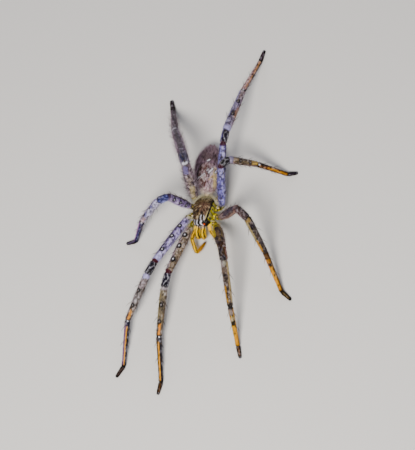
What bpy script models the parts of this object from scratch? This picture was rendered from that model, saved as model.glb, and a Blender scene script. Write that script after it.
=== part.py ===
"""A huntsman spider at life size, standing still with its legs spread.

Lengths are in millimetres and are turned to metres where a shape is made. The head looks
towards -Y, the spider's left is +X, and its feet stand on the plane z = 0.
"""
import math
import random
from collections import namedtuple

import bmesh
import bpy
from mathutils import Matrix, Vector
from mathutils.bvhtree import BVHTree
from mathutils.geometry import intersect_point_line

MM = 0.001
GAP = 0.3               # between two pieces that meet face to face
BODY_AT = (-1.9, 0.3)   # moves the middle of the spider's box onto the origin

# The body: width and length of the carapace, heights above the floor, and the abdomen
CARAPACE_LENGTH = 10.6
CARAPACE_WIDTH = 7.8
CARAPACE_FRONT = -5.7
STERNUM_HEIGHT = 3.0
RIM_HEIGHT = 5.5
CROWN_HEIGHT = 8.4
HEAD_LEAN = 0.0755      # how far the head goes to the spider's right for each mm forward of the waist
WAIST_PLACE = 4.9
BODY_SIDES = 20
JAW_SIDES = 12
ABDOMEN_FRONT = 5.25
ABDOMEN_LENGTH = 17.2
ABDOMEN_WIDTH = 9.4
ABDOMEN_ASIDE = -0.4    # the abdomen hangs a little to the spider's right
ABDOMEN_BELLY = 2.3
ABDOMEN_BACK = 10.3
PEDICEL_RADIUS = 0.85
SPINNERETS = ((0.75, 0.45, 1.1), (1.5, 0.55, 0.8))  # below the middle, off the midline, length
SPINNERET_ROOT = 1.2
SPINNERET_SHAPE = ((0.0, 0.42), (0.7, 0.36), (1.0, 0.2))

# Where the legs leave the body
HIP_HEIGHT = 5.0
COXA_RADIUS = 1.15
COXA_START = (1.7, 0.62, 4.5)   # inside the body: across, share of the hip's place along it, height
ANKLE_HEIGHT = 1.1      # the joint of metatarsus and tarsus
TOE_HEIGHT = 0.3        # the middle of the foot's tip
LEG_SIDES = 10

LegSize = namedtuple("LegSize", "femur patella tibia metatarsus tarsus hip_x hip_y")
LEG_SIZES = {
    1: LegSize(19.2, 5.0, 15.6, 14.4, 3.9, 4.2, -4.9),
    2: LegSize(20.4, 4.7, 16.0, 14.7, 4.0, 5.3, -2.0),
    3: LegSize(16.2, 3.4, 12.0, 12.0, 3.3, 5.4, 1.4),
    4: LegSize(17.9, 4.2, 17.8, 16.2, 4.3, 4.2, 4.5),
}

# How each leg stands: its size beside its pair's, then the bearing and the rise of its femur
# and of its tibia, and the bearings of its metatarsus and tarsus, in degrees. A bearing turns
# from the spider's left, +X, towards its rear, +Y.
Stance = namedtuple("Stance", "reach femur femur_rise tibia tibia_rise metatarsus tarsus")
STANCES = {
    ("left", 1): Stance(0.985, -64, 48, -81, -34, -79, -74),
    ("left", 2): Stance(0.975, -17, 63, -56, -60, -63, -37),
    ("left", 3): Stance(0.985, 87, 51, 14, -46, -1, 17),
    ("left", 4): Stance(1.060, 85, 36, 82, -23, 78, 79),
    ("right", 1): Stance(1.015, -104, 14, -93, -17, -83, -100),
    ("right", 2): Stance(1.020, -114, 17, -112, -18, -92, -121),
    ("right", 3): Stance(1.000, -148, 73, -150, -49, -137, 193),
    ("right", 4): Stance(0.985, 94, 73, 117, -39, 111, 106),
}
PATELLA_LEAN = 1.15     # how much more the patella follows the tibia than the femur
# How much thicker than the shapes below a leg's lengths are, from its femur to its tarsus
STOUT = {
    ("left", 1): (1.18, 1.08, 1.0, 1.0, 1.0),
    ("left", 3): (0.94, 1.0, 1.0, 1.0, 1.0),
    ("left", 4): (0.97, 1.0, 1.12, 1.0, 1.0),
    ("right", 4): (1.28, 1.28, 1.28, 1.28, 1.28),
}

# Thickness along each piece of a leg, as (share of its length, radius)
FEMUR_SHAPE = ((0.0, 0.92), (0.10, 1.14), (0.30, 1.48), (0.55, 1.50), (0.82, 1.34), (1.0, 1.20))
PATELLA_SHAPE = ((0.0, 1.18), (0.5, 1.36), (1.0, 1.24))
TIBIA_SHAPE = ((0.0, 1.20), (0.15, 1.30), (0.50, 1.22), (0.80, 1.10), (1.0, 1.00))
METATARSUS_SHAPE = ((0.0, 0.96), (0.20, 0.94), (0.60, 0.84), (1.0, 0.72))
TARSUS_SHAPE = ((0.0, 0.70), (0.40, 0.66), (0.80, 0.58), (1.0, 0.48))
THICKEST = 1.55

# The spines: rows along a length of the leg, each with its turn round it from the top, in
# degrees towards the leg's front, and the shares of the length where its spines stand
SPINE_ROWS = {
    "femur": ((8, (0.26, 0.49, 0.77)), (62, (0.36, 0.62, 0.86)), (-62, (0.32, 0.58, 0.84))),
    "patella": ((0, (0.2, 0.6)),),
    "tibia": ((10, (0.36, 0.69)), (75, (0.24, 0.60)), (-75, (0.30, 0.66)),
              (150, (0.20, 0.56)), (-150, (0.26, 0.62))),
    "metatarsus": ((70, (0.12, 0.46)), (-70, (0.16, 0.50)), (150, (0.10, 0.44)), (-150, (0.14, 0.40))),
}
SPINE_LENGTH = {"femur": 2.6, "patella": 2.6, "tibia": 2.9, "metatarsus": 2.4}
SHAGGY = ("right", 4)   # the one leg with long bristles on its patella too
SPINE_RADIUS = 0.27
SPINE_LEAN = 52         # degrees from upright towards the foot
SPINE_ROOT = 0.45       # how deep a spine starts under the skin
SPINE_SIDES = 4
SPINE_VARIES = 0.12     # share by which length and lean differ from spine to spine
SPINE_FLOOR = 0.5       # no spine's tip comes lower than this

# The eyes: name, diameter, and their place on the head, across and up the face or along the top
Eye = namedtuple("Eye", "name diameter across back height")
EYES = (
    Eye("ame", 0.50, 0.46, -9.0, 6.40),
    Eye("ale", 0.70, 1.36, -9.0, 6.25),
    Eye("pme", 0.45, 0.66, -5.05, 12.0),
    Eye("ple", 0.62, 1.75, -4.65, 12.0),
)
EYE_SINK = 0.12         # how far an eye's middle lies under the skin
SOCKET_GAP = 0.14

# The palps, from the mouth's side over the knee and round the bend to the tip
PALP_RADIUS = 0.62
PALP_BASE = {"left": (1.3, -3.6, 4.6), "right": (-2.3, -3.6, 4.4)}
PALP_PATHS = {
    "right": {
        "femur": ((-3.3, -6.5, 3.2), (-3.45, -9.9, 4.9)),
        "tibia": ((-3.45, -9.9, 4.9), (-2.6, -12.2, 3.7), (-1.8, -13.9, 2.6)),
        "tarsus": ((-1.8, -13.9, 2.6), (-0.7, -12.0, 2.0), (0.4, -9.7, 1.4)),
    },
    "left": {
        "femur": ((2.3, -6.6, 4.0), (4.4, -8.9, 4.6)),
        "tibia": ((4.4, -8.9, 4.6), (5.6, -11.0, 3.6), (6.2, -12.8, 2.6)),
        "tarsus": ((6.2, -12.8, 2.6), (6.6, -14.5, 1.8), (6.9, -16.4, 1.2)),
    },
}

# Colours of the real surfaces, as sRGB hex values, with their roughness
FINISHES = {
    "carapace": ("6B5A45", 0.55),
    "abdomen": ("8C7B6E", 0.80),
    "eye": ("0B0A0C", 0.08),
    "chelicera": ("C9A02B", 0.45),
    "palp": ("D8A92E", 0.50),
    "femur": ("8A8193", 0.65),
    "patella": ("4A3540", 0.55),
    "tibia": ("9A8570", 0.65),
    "metatarsus": ("D08A2C", 0.60),
    "tarsus": ("B8621F", 0.65),
}


def linear(value):
    """One sRGB channel, 0 to 1, as linear light."""
    return value / 12.92 if value <= 0.04045 else ((value + 0.055) / 1.055) ** 2.4


def finish(name, kind):
    """A material of its own for one sub-part."""
    code, roughness = FINISHES[kind]
    colour = [linear(int(code[i:i + 2], 16) / 255) for i in (0, 2, 4)]
    material = bpy.data.materials.new(name)
    material.use_nodes = True
    shader = material.node_tree.nodes["Principled BSDF"]
    shader.inputs["Base Color"].default_value = (*colour, 1)
    shader.inputs["Roughness"].default_value = roughness
    shader.inputs["Metallic"].default_value = 0
    material.diffuse_color = (*colour, 1)
    return material


def place(name, kind, mesh, at=(0, 0, 0)):
    """Make the object of one sub-part, with its origin at a point of the spider."""
    mesh.materials.clear()
    mesh.materials.append(finish(name, kind))
    mesh.shade_smooth()
    mesh.set_sharp_from_angle(angle=math.radians(40))
    piece = bpy.data.objects.new(name, mesh)
    bpy.context.scene.collection.objects.link(piece)
    piece.parent = spider
    piece.location = Vector(at) * MM
    return piece


def heading(bearing, rise):
    """The unit vector of a bearing and a rise in degrees."""
    turn = math.radians(bearing)
    lift = math.radians(rise)
    return Vector((math.cos(turn) * math.cos(lift), math.sin(turn) * math.cos(lift), math.sin(lift)))


def ring(centre, axis, radius, sides, face=None):
    """Points round an axis; with a face, each slides along the axis onto that plane."""
    across = axis.cross(Vector((0, 0, 1))).normalized()
    up = across.cross(axis).normalized()
    face = face or axis
    points = []
    for side in range(sides):
        angle = math.tau * (side + 0.5) / sides
        point = centre + across * math.cos(angle) * radius + up * math.sin(angle) * radius
        points.append(point + axis * ((centre - point).dot(face) / axis.dot(face)))
    return points


def loft(rings, origin=Vector((0, 0, 0)), floor=None):
    """Extrude a capped ring from station to station and close it, in metres about the origin."""
    shape = bmesh.new()
    start = [shape.verts.new((point - origin) * MM) for point in rings[0]]
    cap = shape.faces.new(start)
    for points in rings[1:]:
        cap = bmesh.ops.extrude_discrete_faces(shape, faces=[cap])["faces"][0]
        for vertex, point in zip(cap.verts, points):
            vertex.co = (point - origin) * MM
    shape.faces.new(list(reversed(start)))
    if floor is not None:
        for vertex in shape.verts:
            vertex.co.z = max(vertex.co.z, (floor - origin.z) * MM)
    return closed_mesh(shape)


def closed_mesh(shape):
    """Turn a bmesh into a mesh of triangles whose faces point out."""
    bmesh.ops.triangulate(shape, faces=shape.faces)
    bmesh.ops.recalc_face_normals(shape, faces=shape.faces)
    mesh = bpy.data.meshes.new("shape")
    shape.to_mesh(mesh)
    shape.free()
    return mesh


def tube(path, profile, sides, start_face=None, end_face=None, origin=None, floor=None):
    """A round tube along a path, with its ends cut on the given planes.

    The profile gives the radius at shares of the whole length, and each corner of the path has
    a ring halfway between its two directions.
    """
    path = [Vector(point) for point in path]
    lengths = [(b - a).length for a, b in zip(path, path[1:])]
    whole = sum(lengths)
    corners = [sum(lengths[:i]) / whole for i in range(len(path))]
    shares = sorted({share for share, _ in profile} | set(corners))
    rings = []
    for share in shares:
        leg = max(i for i in range(len(lengths)) if corners[i] <= share + 1e-9)
        along = (share - corners[leg]) * whole
        axis = (path[leg + 1] - path[leg]).normalized()
        centre = path[leg] + axis * along
        face = None
        if share == 0:
            face = start_face
        elif share == 1:
            face = end_face
        elif leg > 0 and abs(share - corners[leg]) < 1e-9:
            before = (path[leg] - path[leg - 1]).normalized()
            axis = (axis + before).normalized()
        rings.append(ring(centre, axis, radius_at(profile, share), sides, face))
    return loft(rings, origin or path[0], floor)


def radius_at(profile, share):
    """The radius between the two nearest stations of a profile."""
    for (a, low), (b, high) in zip(profile, profile[1:]):
        if share <= b:
            return low + (high - low) * (share - a) / (b - a)
    return profile[-1][1]


def spine_line(skin, outward, way, length):
    """The root and the tip of a spine that leans along the leg towards the foot."""
    lean = math.radians(SPINE_LEAN)
    aim = (outward * math.cos(lean) + way * math.sin(lean)).normalized()
    tip = skin + aim * length
    tip.z = max(tip.z, SPINE_FLOOR)
    return skin - (tip - skin).normalized() * SPINE_ROOT, tip


def neighbours(side, pair):
    """What a leg's spines must stay clear of, as lines with a radius."""
    half = ABDOMEN_WIDTH / 2
    front = CARAPACE_FRONT + CARAPACE_WIDTH / 2
    lines = [
        (Vector((head_lean(front), front, HIP_HEIGHT)), Vector((0, 1, HIP_HEIGHT)), CARAPACE_WIDTH / 2),
        (Vector((ABDOMEN_ASIDE, 9, 6)), Vector((ABDOMEN_ASIDE, 18, 6)), half),
    ]
    for other in STANCES:
        if other != (side, pair):
            joints = leg_joints(*other)
            lines += [(a, b, THICKEST) for a, b in zip(joints, joints[1:])]
    for paths in PALP_PATHS.values():
        for path in paths.values():
            lines += [(Vector(a), Vector(b), PALP_RADIUS) for a, b in zip(path, path[1:])]
    return lines


def is_clear(root, tip, lines):
    """Whether a spine keeps its distance from every line."""
    for start, end, radius in lines:
        for step in range(5):
            point = root.lerp(tip, step / 4)
            nearest, share = intersect_point_line(point, start, end)
            nearest = start.lerp(end, min(max(share, 0), 1))
            if (point - nearest).length < radius + SPINE_RADIUS + GAP:
                return False
    return True


def spines(kind, start, end, profile, lines, draw):
    """The spines of one length of a leg; one that would meet a neighbour stands more upright."""
    way = (end - start).normalized()
    across = way.cross(Vector((0, 0, 1))).normalized()
    up = across.cross(way).normalized()
    shape = ((0.0, SPINE_RADIUS), (0.5, SPINE_RADIUS * 0.72), (1.0, SPINE_RADIUS * 0.22))
    grown = []
    for turn, shares in SPINE_ROWS.get(kind, ()):
        for share in shares:
            share += draw.uniform(-0.015, 0.015)
            length = SPINE_LENGTH[kind] * draw.uniform(1 - SPINE_VARIES, 1 + SPINE_VARIES)
            turned = turn + draw.uniform(-6, 6)
            for ease in (1, 0.75, 0.5, 0.25):
                angle = math.radians(turned * ease)
                outward = up * math.cos(angle) + across * math.sin(angle)
                skin = start + (end - start) * share + outward * radius_at(profile, share) * 0.97
                root, tip = spine_line(skin, outward, way, length)
                if is_clear(root, tip, lines):
                    grown.append(tube((root, tip), shape, SPINE_SIDES, origin=Vector((0, 0, 0))))
                    break
    return grown


def joint_gap(point, before, after):
    """Where two lengths that meet at a point end, and the plane that both are cut on."""
    face = (before + after).normalized()
    back = before * (GAP / 2 / before.dot(face))
    ahead = after * (GAP / 2 / after.dot(face))
    return point - back, point + ahead, face


def fuse(mesh, pieces, operation="UNION"):
    """Join closed meshes to a mesh, or cut them out of it, and keep its largest closed surface."""
    group = bpy.data.collections.new("pieces")
    bpy.context.scene.collection.children.link(group)
    whole = bpy.data.objects.new("whole", mesh)
    bpy.context.scene.collection.objects.link(whole)
    for piece in pieces:
        group.objects.link(bpy.data.objects.new("piece", piece))
    union = whole.modifiers.new("union", "BOOLEAN")
    union.operation = operation
    union.operand_type = "COLLECTION"
    union.collection = group
    union.solver = "EXACT"
    depsgraph = bpy.context.evaluated_depsgraph_get()
    joined = bpy.data.meshes.new_from_object(whole.evaluated_get(depsgraph))
    for piece in list(group.objects):
        bpy.data.objects.remove(piece)
    bpy.data.objects.remove(whole)
    bpy.data.collections.remove(group)
    shape = bmesh.new()
    shape.from_mesh(joined)
    drop_loose_scraps(shape)
    return closed_mesh(shape)


def drop_loose_scraps(shape):
    """Delete every closed surface but the largest one."""
    waiting = set(shape.faces)
    surfaces = []
    while waiting:
        border = [waiting.pop()]
        surface = set(border)
        while border:
            for edge in border.pop().edges:
                for face in edge.link_faces:
                    if face in waiting:
                        waiting.discard(face)
                        surface.add(face)
                        border.append(face)
        surfaces.append(surface)
    largest = max(surfaces, key=lambda surface: sum(face.calc_area() for face in surface))
    scraps = [face for face in shape.faces if face not in largest]
    bmesh.ops.delete(shape, geom=scraps, context="FACES")


def head_lean(y):
    """How far the middle of the head lies to the spider's right at a place along it."""
    return HEAD_LEAN * min(0, y - WAIST_PLACE)


def body_ring(y, half_width, low, rim, top, keel=0.72, aside=0.0):
    """A cross-section of the body: a rounded roof over the rim and a narrower, flatter belly."""
    points = []
    for side in range(BODY_SIDES):
        angle = math.tau * side / BODY_SIDES
        along = math.cos(angle)
        rise = math.sin(angle)
        if rise >= 0:
            x = half_width * math.copysign(abs(along) ** 0.85, along)
            z = rim + (top - rim) * rise ** 0.9
        else:
            narrow = keel + (1 - keel) * (1 + rise)
            x = half_width * narrow * along
            z = rim + (rim - low) * math.copysign(abs(rise) ** 0.8, rise)
        points.append(Vector((x + aside, y, z)))
    return points


def carapace_mesh():
    """The carapace and sternum, from the face at the front to the flat place for the pedicel."""
    half = CARAPACE_WIDTH / 2
    roof = CROWN_HEIGHT - RIM_HEIGHT
    belly = RIM_HEIGHT - STERNUM_HEIGHT
    shares = (
        # share of the length, of the half width, of the belly's depth and of the roof's height
        (0.00, 0.54, 0.20, 0.60),
        (0.04, 0.60, 0.45, 0.76),
        (0.14, 0.70, 0.78, 0.90),
        (0.28, 0.81, 0.94, 0.97),
        (0.45, 0.94, 1.00, 1.00),
        (0.62, 1.00, 1.00, 0.95),
        (0.77, 0.92, 0.92, 0.80),
        (0.88, 0.74, 0.78, 0.60),
        (0.95, 0.50, 0.58, 0.38),
        (1.00, 0.28, 0.40, 0.22),
    )
    rings = [
        body_ring(CARAPACE_FRONT + CARAPACE_LENGTH * along, half * wide,
                  RIM_HEIGHT - belly * deep, RIM_HEIGHT, RIM_HEIGHT + roof * high,
                  aside=head_lean(CARAPACE_FRONT + CARAPACE_LENGTH * along))
        for along, wide, deep, high in shares
    ]
    return loft(rings)


def hip(side, pair):
    """Where a leg's femur starts."""
    size = LEG_SIZES[pair]
    mirror = 1 if side == "left" else -1
    return Vector((mirror * size.hip_x, size.hip_y, HIP_HEIGHT))


def leg_joints(side, pair):
    """The joints of a leg, from its hip to its toe."""
    size = LEG_SIZES[pair]
    stance = STANCES[side, pair]
    femur = heading(stance.femur, stance.femur_rise)
    tibia = heading(stance.tibia, stance.tibia_rise)
    patella = (femur + PATELLA_LEAN * tibia).normalized()
    joints = [hip(side, pair)]
    joints.append(joints[-1] + femur * size.femur * stance.reach)
    joints.append(joints[-1] + patella * size.patella * stance.reach)
    joints.append(joints[-1] + tibia * size.tibia * stance.reach)
    for length, bearing, height in (
        (size.metatarsus, stance.metatarsus, ANKLE_HEIGHT),
        (size.tarsus, stance.tarsus, TOE_HEIGHT),
    ):
        length *= stance.reach
        fall = math.degrees(math.asin((joints[-1].z - height) / length))
        joints.append(joints[-1] + heading(bearing, -fall) * length)
    return joints


def coxa_start(side, pair):
    """The inner end of a coxa, inside the body."""
    size = LEG_SIZES[pair]
    mirror = 1 if side == "left" else -1
    across, share, height = COXA_START
    return Vector((mirror * across, size.hip_y * share, height))


def coxa_mesh(side, pair):
    """The coxa and trochanter, from inside the body to the cut that faces the femur."""
    inner = coxa_start(side, pair)
    joints = leg_joints(side, pair)
    outward = (joints[0] - inner).normalized()
    femur = (joints[1] - joints[0]).normalized()
    outer, _, face = joint_gap(joints[0], outward, femur)
    profile = ((0.0, COXA_RADIUS), (0.45, COXA_RADIUS * 1.1), (0.72, COXA_RADIUS * 0.9),
               (1.0, FEMUR_SHAPE[0][1]))
    return tube((inner, outer), profile, LEG_SIDES, end_face=face, origin=Vector((0, 0, 0)))


def palp_hip_mesh(side):
    """The base of a palp, beside the mouth."""
    start, knee = [Vector(point) for point in PALP_PATHS[side]["femur"]]
    inner = Vector(PALP_BASE[side])
    outward = (start - inner).normalized()
    outer, _, face = joint_gap(start, outward, (knee - start).normalized())
    profile = ((0.0, PALP_RADIUS * 1.3), (0.6, PALP_RADIUS * 1.2), (1.0, PALP_RADIUS))
    return tube((inner, outer), profile, LEG_SIDES, end_face=face, origin=Vector((0, 0, 0)))


def make_head_and_eyes():
    """The cephalothorax with the stubs of legs and palps, and the eight eyes in their sockets."""
    stubs = [coxa_mesh(side, pair) for side in ("left", "right") for pair in LEG_SIZES]
    stubs += [palp_hip_mesh(side) for side in ("left", "right")]
    body = fuse(carapace_mesh(), stubs)
    probe = bmesh.new()
    probe.from_mesh(body)
    skin = BVHTree.FromBMesh(probe)
    sockets = []
    for eye in EYES:
        for side, mirror in (("left", 1), ("right", -1)):
            lean = head_lean(max(eye.back, CARAPACE_FRONT))
            start = Vector((lean + mirror * eye.across, eye.back, eye.height))
            look = Vector((0, 1, 0)) if eye.back < CARAPACE_FRONT else Vector((0, 0, -1))
            spot, normal, _, _ = skin.ray_cast(start * MM, look)
            centre = spot / MM - normal * EYE_SINK
            sockets.append(ball(eye.diameter / 2 + SOCKET_GAP, centre))
            place(f"eye_{eye.name}_{side}", "eye", ball(eye.diameter / 2), centre)
    probe.free()
    place("cephalothorax", "carapace", fuse(body, sockets, "DIFFERENCE"))


def ball(radius, centre=Vector((0, 0, 0))):
    """A ball of few faces."""
    shape = bmesh.new()
    bmesh.ops.create_uvsphere(shape, u_segments=12, v_segments=7, radius=radius * MM)
    bmesh.ops.translate(shape, verts=shape.verts, vec=centre * MM)
    return closed_mesh(shape)


def make_abdomen():
    """The abdomen with its pedicel in front and the spinnerets at its tip."""
    middle = (ABDOMEN_BELLY + ABDOMEN_BACK) / 2
    belly = middle - ABDOMEN_BELLY
    back = ABDOMEN_BACK - middle
    half = ABDOMEN_WIDTH / 2
    neck = PEDICEL_RADIUS / half
    shares = (
        # share of the length, of the half width, of the belly's depth and of the back's height
        (0.000, neck, 0.42, 0.02),
        (0.028, neck, 0.44, 0.05),
        (0.045, 0.36, 0.62, 0.28),
        (0.090, 0.50, 0.74, 0.52),
        (0.190, 0.70, 0.89, 0.76),
        (0.340, 0.93, 0.98, 0.97),
        (0.510, 1.00, 1.00, 1.00),
        (0.690, 0.93, 0.93, 0.86),
        (0.830, 0.73, 0.76, 0.60),
        (0.930, 0.47, 0.54, 0.32),
        (0.985, 0.24, 0.32, 0.08),
        (1.000, 0.12, 0.24, -0.02),
    )
    rings = [
        body_ring(ABDOMEN_FRONT + ABDOMEN_LENGTH * along, half * wide, middle - belly * deep,
                  middle - 0.3, middle + back * high, 0.86, ABDOMEN_ASIDE * min(1, along / 0.34))
        for along, wide, deep, high in shares
    ]
    tip = Vector((ABDOMEN_ASIDE, ABDOMEN_FRONT + ABDOMEN_LENGTH, middle))
    spinnerets = []
    for mirror in (1, -1):
        for drop, spread, length in SPINNERETS:
            root = tip + Vector((mirror * spread, -SPINNERET_ROOT, -drop))
            end = root + Vector((mirror * 0.25, length + SPINNERET_ROOT, -0.35))
            spinnerets.append(tube((root, end), SPINNERET_SHAPE, 6, origin=Vector((0, 0, 0))))
    place("abdomen", "abdomen", fuse(loft(rings), spinnerets))


def make_chelicera(side):
    """One jaw: it starts at the face, bulges forward and hangs down over the mouth."""
    mirror = 1 if side == "left" else -1
    start = CARAPACE_FRONT - GAP
    stations = (
        # forward of the face, height, degrees turned down, half width, half depth, outward
        (0.0, 5.55, 0, 0.78, 0.72, 0.95),
        (1.0, 5.45, 20, 0.84, 0.98, 0.96),
        (2.0, 4.85, 50, 0.84, 1.05, 0.96),
        (2.5, 3.85, 75, 0.80, 0.95, 0.93),
        (2.35, 2.75, 92, 0.64, 0.74, 0.87),
        (2.2, 2.10, 98, 0.43, 0.45, 0.81),
    )
    rings = []
    for forward, height, turn, half_width, half_depth, outward in stations:
        centre = Vector((head_lean(CARAPACE_FRONT) + mirror * outward, start - forward, height))
        tilt = math.radians(turn)
        up = Vector((0, -math.sin(tilt), math.cos(tilt)))
        points = []
        for step in range(JAW_SIDES):
            angle = math.tau * step / JAW_SIDES
            across = Vector((math.cos(angle) * half_width, 0, 0))
            points.append(centre + across + up * math.sin(angle) * half_depth)
        rings.append(points)
    place(f"chelicera_{side}", "chelicera", loft(rings))


def make_palp(side):
    """The three lengths of a palp, cut to face one another."""
    paths = [[Vector(point) for point in path] for path in PALP_PATHS[side].values()]
    before = (paths[0][0] - Vector(PALP_BASE[side])).normalized()
    start_face = None
    for index, (name, path) in enumerate(zip(PALP_PATHS[side], paths)):
        ahead = (path[1] - path[0]).normalized()
        _, path[0], start_face = joint_gap(path[0], before, ahead)
        before = (path[-1] - path[-2]).normalized()
        end_face = None
        if index + 1 < len(paths):
            after = (paths[index + 1][1] - paths[index + 1][0]).normalized()
            path[-1], _, end_face = joint_gap(path[-1], before, after)
        radius = PALP_RADIUS
        profile = ((0.0, radius), (0.5, radius * 1.12), (1.0, radius * 0.95))
        if name == "tarsus":
            profile = ((0.0, radius * 0.95), (0.5, radius), (0.85, radius * 0.75), (1.0, radius * 0.35))
        place(f"palp_{side}_{name}", "palp",
              tube(path, profile, 8, start_face, end_face), path[0])


def make_leg(side, pair, draw):
    """The five lengths of a leg beyond its trochanter, each cut to face the next."""
    joints = leg_joints(side, pair)
    inner = coxa_start(side, pair)
    points = [inner] + joints
    ways = [(b - a).normalized() for a, b in zip(points, points[1:])]
    shapes = (
        ("femur", FEMUR_SHAPE), ("patella", PATELLA_SHAPE), ("tibia", TIBIA_SHAPE),
        ("metatarsus", METATARSUS_SHAPE), ("tarsus", TARSUS_SHAPE),
    )
    lines = neighbours(side, pair)
    stout = STOUT.get((side, pair), (1,) * len(shapes))
    for index, (name, shape) in enumerate(shapes):
        profile = tuple((share, radius * stout[index]) for share, radius in shape)
        way = ways[index + 1]
        _, start, start_face = joint_gap(joints[index], ways[index], way)
        end, end_face, floor = joints[index + 1], None, None
        if name == "tarsus":
            floor = 0
        else:
            end, _, end_face = joint_gap(end, way, ways[index + 2])
        mesh = tube((start, end), profile, LEG_SIDES, start_face, end_face, Vector((0, 0, 0)), floor)
        grown = spines(name, start, end, profile, lines, draw)
        if name == "patella" and (side, pair) != SHAGGY:
            grown = []
        if grown:
            mesh = fuse(mesh, grown)
        mesh.transform(Matrix.Translation(-start * MM))
        place(f"leg_{side}_{pair}_{name}", name, mesh, start)


for old in list(bpy.data.objects):
    bpy.data.objects.remove(old)
spider = bpy.data.objects.new("spider", None)
spider.location = Vector((*BODY_AT, 0)) * MM
bpy.context.scene.collection.objects.link(spider)
chance = random.Random(8)
make_head_and_eyes()
make_abdomen()
for flank in ("left", "right"):
    make_chelicera(flank)
    make_palp(flank)
    for number in LEG_SIZES:
        make_leg(flank, number, chance)
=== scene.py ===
"""The looks of a huntsman spider at life size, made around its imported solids.

Lengths are in millimetres in the spider's own frame, head towards -Y and left side +X, until
a mesh is made. Every skin is a surface with two shares: u runs round it from 0 to 1 and v runs
along it from 0 to 1. Skins and coats take their colours from the same marking functions.
"""
import math
from collections import namedtuple
from functools import partial
from itertools import product

import bmesh
import bpy
import numpy as np
from mathutils import Matrix, Vector


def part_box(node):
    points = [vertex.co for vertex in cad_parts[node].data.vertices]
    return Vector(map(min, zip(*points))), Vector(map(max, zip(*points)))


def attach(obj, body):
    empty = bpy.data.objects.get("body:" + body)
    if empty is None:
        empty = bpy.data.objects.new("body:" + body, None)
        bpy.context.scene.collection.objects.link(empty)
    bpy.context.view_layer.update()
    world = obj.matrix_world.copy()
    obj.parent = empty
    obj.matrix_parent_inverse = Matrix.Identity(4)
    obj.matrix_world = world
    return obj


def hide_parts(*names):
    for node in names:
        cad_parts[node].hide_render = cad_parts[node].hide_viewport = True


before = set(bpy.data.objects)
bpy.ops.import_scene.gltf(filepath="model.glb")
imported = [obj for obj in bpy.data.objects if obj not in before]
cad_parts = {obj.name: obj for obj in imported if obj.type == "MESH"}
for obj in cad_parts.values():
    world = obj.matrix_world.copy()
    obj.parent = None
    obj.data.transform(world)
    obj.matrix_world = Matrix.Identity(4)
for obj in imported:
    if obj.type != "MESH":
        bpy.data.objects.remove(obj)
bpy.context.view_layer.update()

MM = 0.001
BODY_AT = np.array([-1.9, 0.3, 0.0])    # the spider's own origin, seen from the middle of its box
BODY = "root"
BAKE_MAP = "OFBake"
MARKING = "Marking"
WELD = 1e-7             # metres, for the seam and the poles of a skin
PATCH = 0.003           # how much of its coat's map one hair takes
FLOOR_CLEAR = 0.03      # no skin or hair comes lower than this

# The picture: where the camera stands, in degrees, and how its middle lies beside the spider
AZIMUTH = 34.0
ELEVATION = 68.0
ROLL = -29.0
DISTANCE = 498.6
LENS = 120.0
AIM = (-0.30, -2.96)    # along the picture's width and height

# The limbs, as the solids have them
HIP_HEIGHT = 5.0
COXA_START = (1.7, 0.62, 4.5)
ANKLE_HEIGHT = 1.1
TOE_HEIGHT = 0.3
LegSize = namedtuple("LegSize", "femur patella tibia metatarsus tarsus hip_x hip_y")
LEG_SIZES = {
    1: LegSize(19.2, 5.0, 15.6, 14.4, 3.9, 4.2, -4.9),
    2: LegSize(20.4, 4.7, 16.0, 14.7, 4.0, 5.3, -2.0),
    3: LegSize(16.2, 3.4, 12.0, 12.0, 3.3, 5.4, 1.4),
    4: LegSize(17.9, 4.2, 17.8, 16.2, 4.3, 4.2, 4.5),
}
Stance = namedtuple("Stance", "reach femur femur_rise tibia tibia_rise metatarsus tarsus")
STANCES = {
    ("left", 1): Stance(0.985, -64, 48, -81, -34, -79, -74),
    ("left", 2): Stance(0.975, -17, 63, -56, -60, -63, -37),
    ("left", 3): Stance(0.985, 87, 51, 14, -46, -1, 17),
    ("left", 4): Stance(1.060, 85, 36, 82, -23, 78, 79),
    ("right", 1): Stance(1.015, -104, 14, -93, -17, -83, -100),
    ("right", 2): Stance(1.020, -114, 17, -112, -18, -92, -121),
    ("right", 3): Stance(1.000, -148, 73, -150, -49, -137, 193),
    ("right", 4): Stance(0.985, 94, 73, 117, -39, 111, 106),
}
PATELLA_LEAN = 1.15
STOUT = {
    ("left", 1): (1.0, 1.18, 1.08, 1.0, 1.0, 1.0),
    ("left", 3): (1.0, 0.94, 1.0, 1.0, 1.0, 1.0),
    ("left", 4): (1.0, 0.97, 1.0, 1.12, 1.0, 1.0),
    ("right", 4): (1.0, 1.28, 1.28, 1.28, 1.28, 1.28),
}
SHAGGY = ("right", 4)
SHAGGY_FLUFF = 1.4      # how much longer the long hairs of that leg are, and its cube how many more
PIECES = ("coxa", "femur", "patella", "tibia", "metatarsus", "tarsus")
COXA, FEMUR, PATELLA, TIBIA, METATARSUS, TARSUS = range(6)

# Radius of the solids along each length, as (share, radius), and how much slimmer the skin is
SHAPES = (
    ((0.0, 1.15), (0.45, 1.26), (0.72, 1.04), (1.0, 0.90)),
    ((0.0, 0.92), (0.10, 1.14), (0.30, 1.48), (0.55, 1.50), (0.82, 1.34), (1.0, 1.20)),
    ((0.0, 1.18), (0.5, 1.36), (1.0, 1.24)),
    ((0.0, 1.20), (0.15, 1.30), (0.50, 1.22), (0.80, 1.10), (1.0, 1.00)),
    ((0.0, 0.96), (0.20, 0.94), (0.60, 0.84), (1.0, 0.72)),
    ((0.0, 0.70), (0.40, 0.66), (0.80, 0.58), (1.0, 0.48)),
)
SLIMMER = 0.955
COAT_DEPTH = 0.09
BEND_ROOM = 0.12        # a joint bends round a little more than its own radius
WAIST = 0.20            # share by which a joint is narrower than what it joins
WAIST_LENGTH = 0.30
LIP = 0.05              # share by which a length flares beside its joints
LIP_PLACE = 0.75

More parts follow.
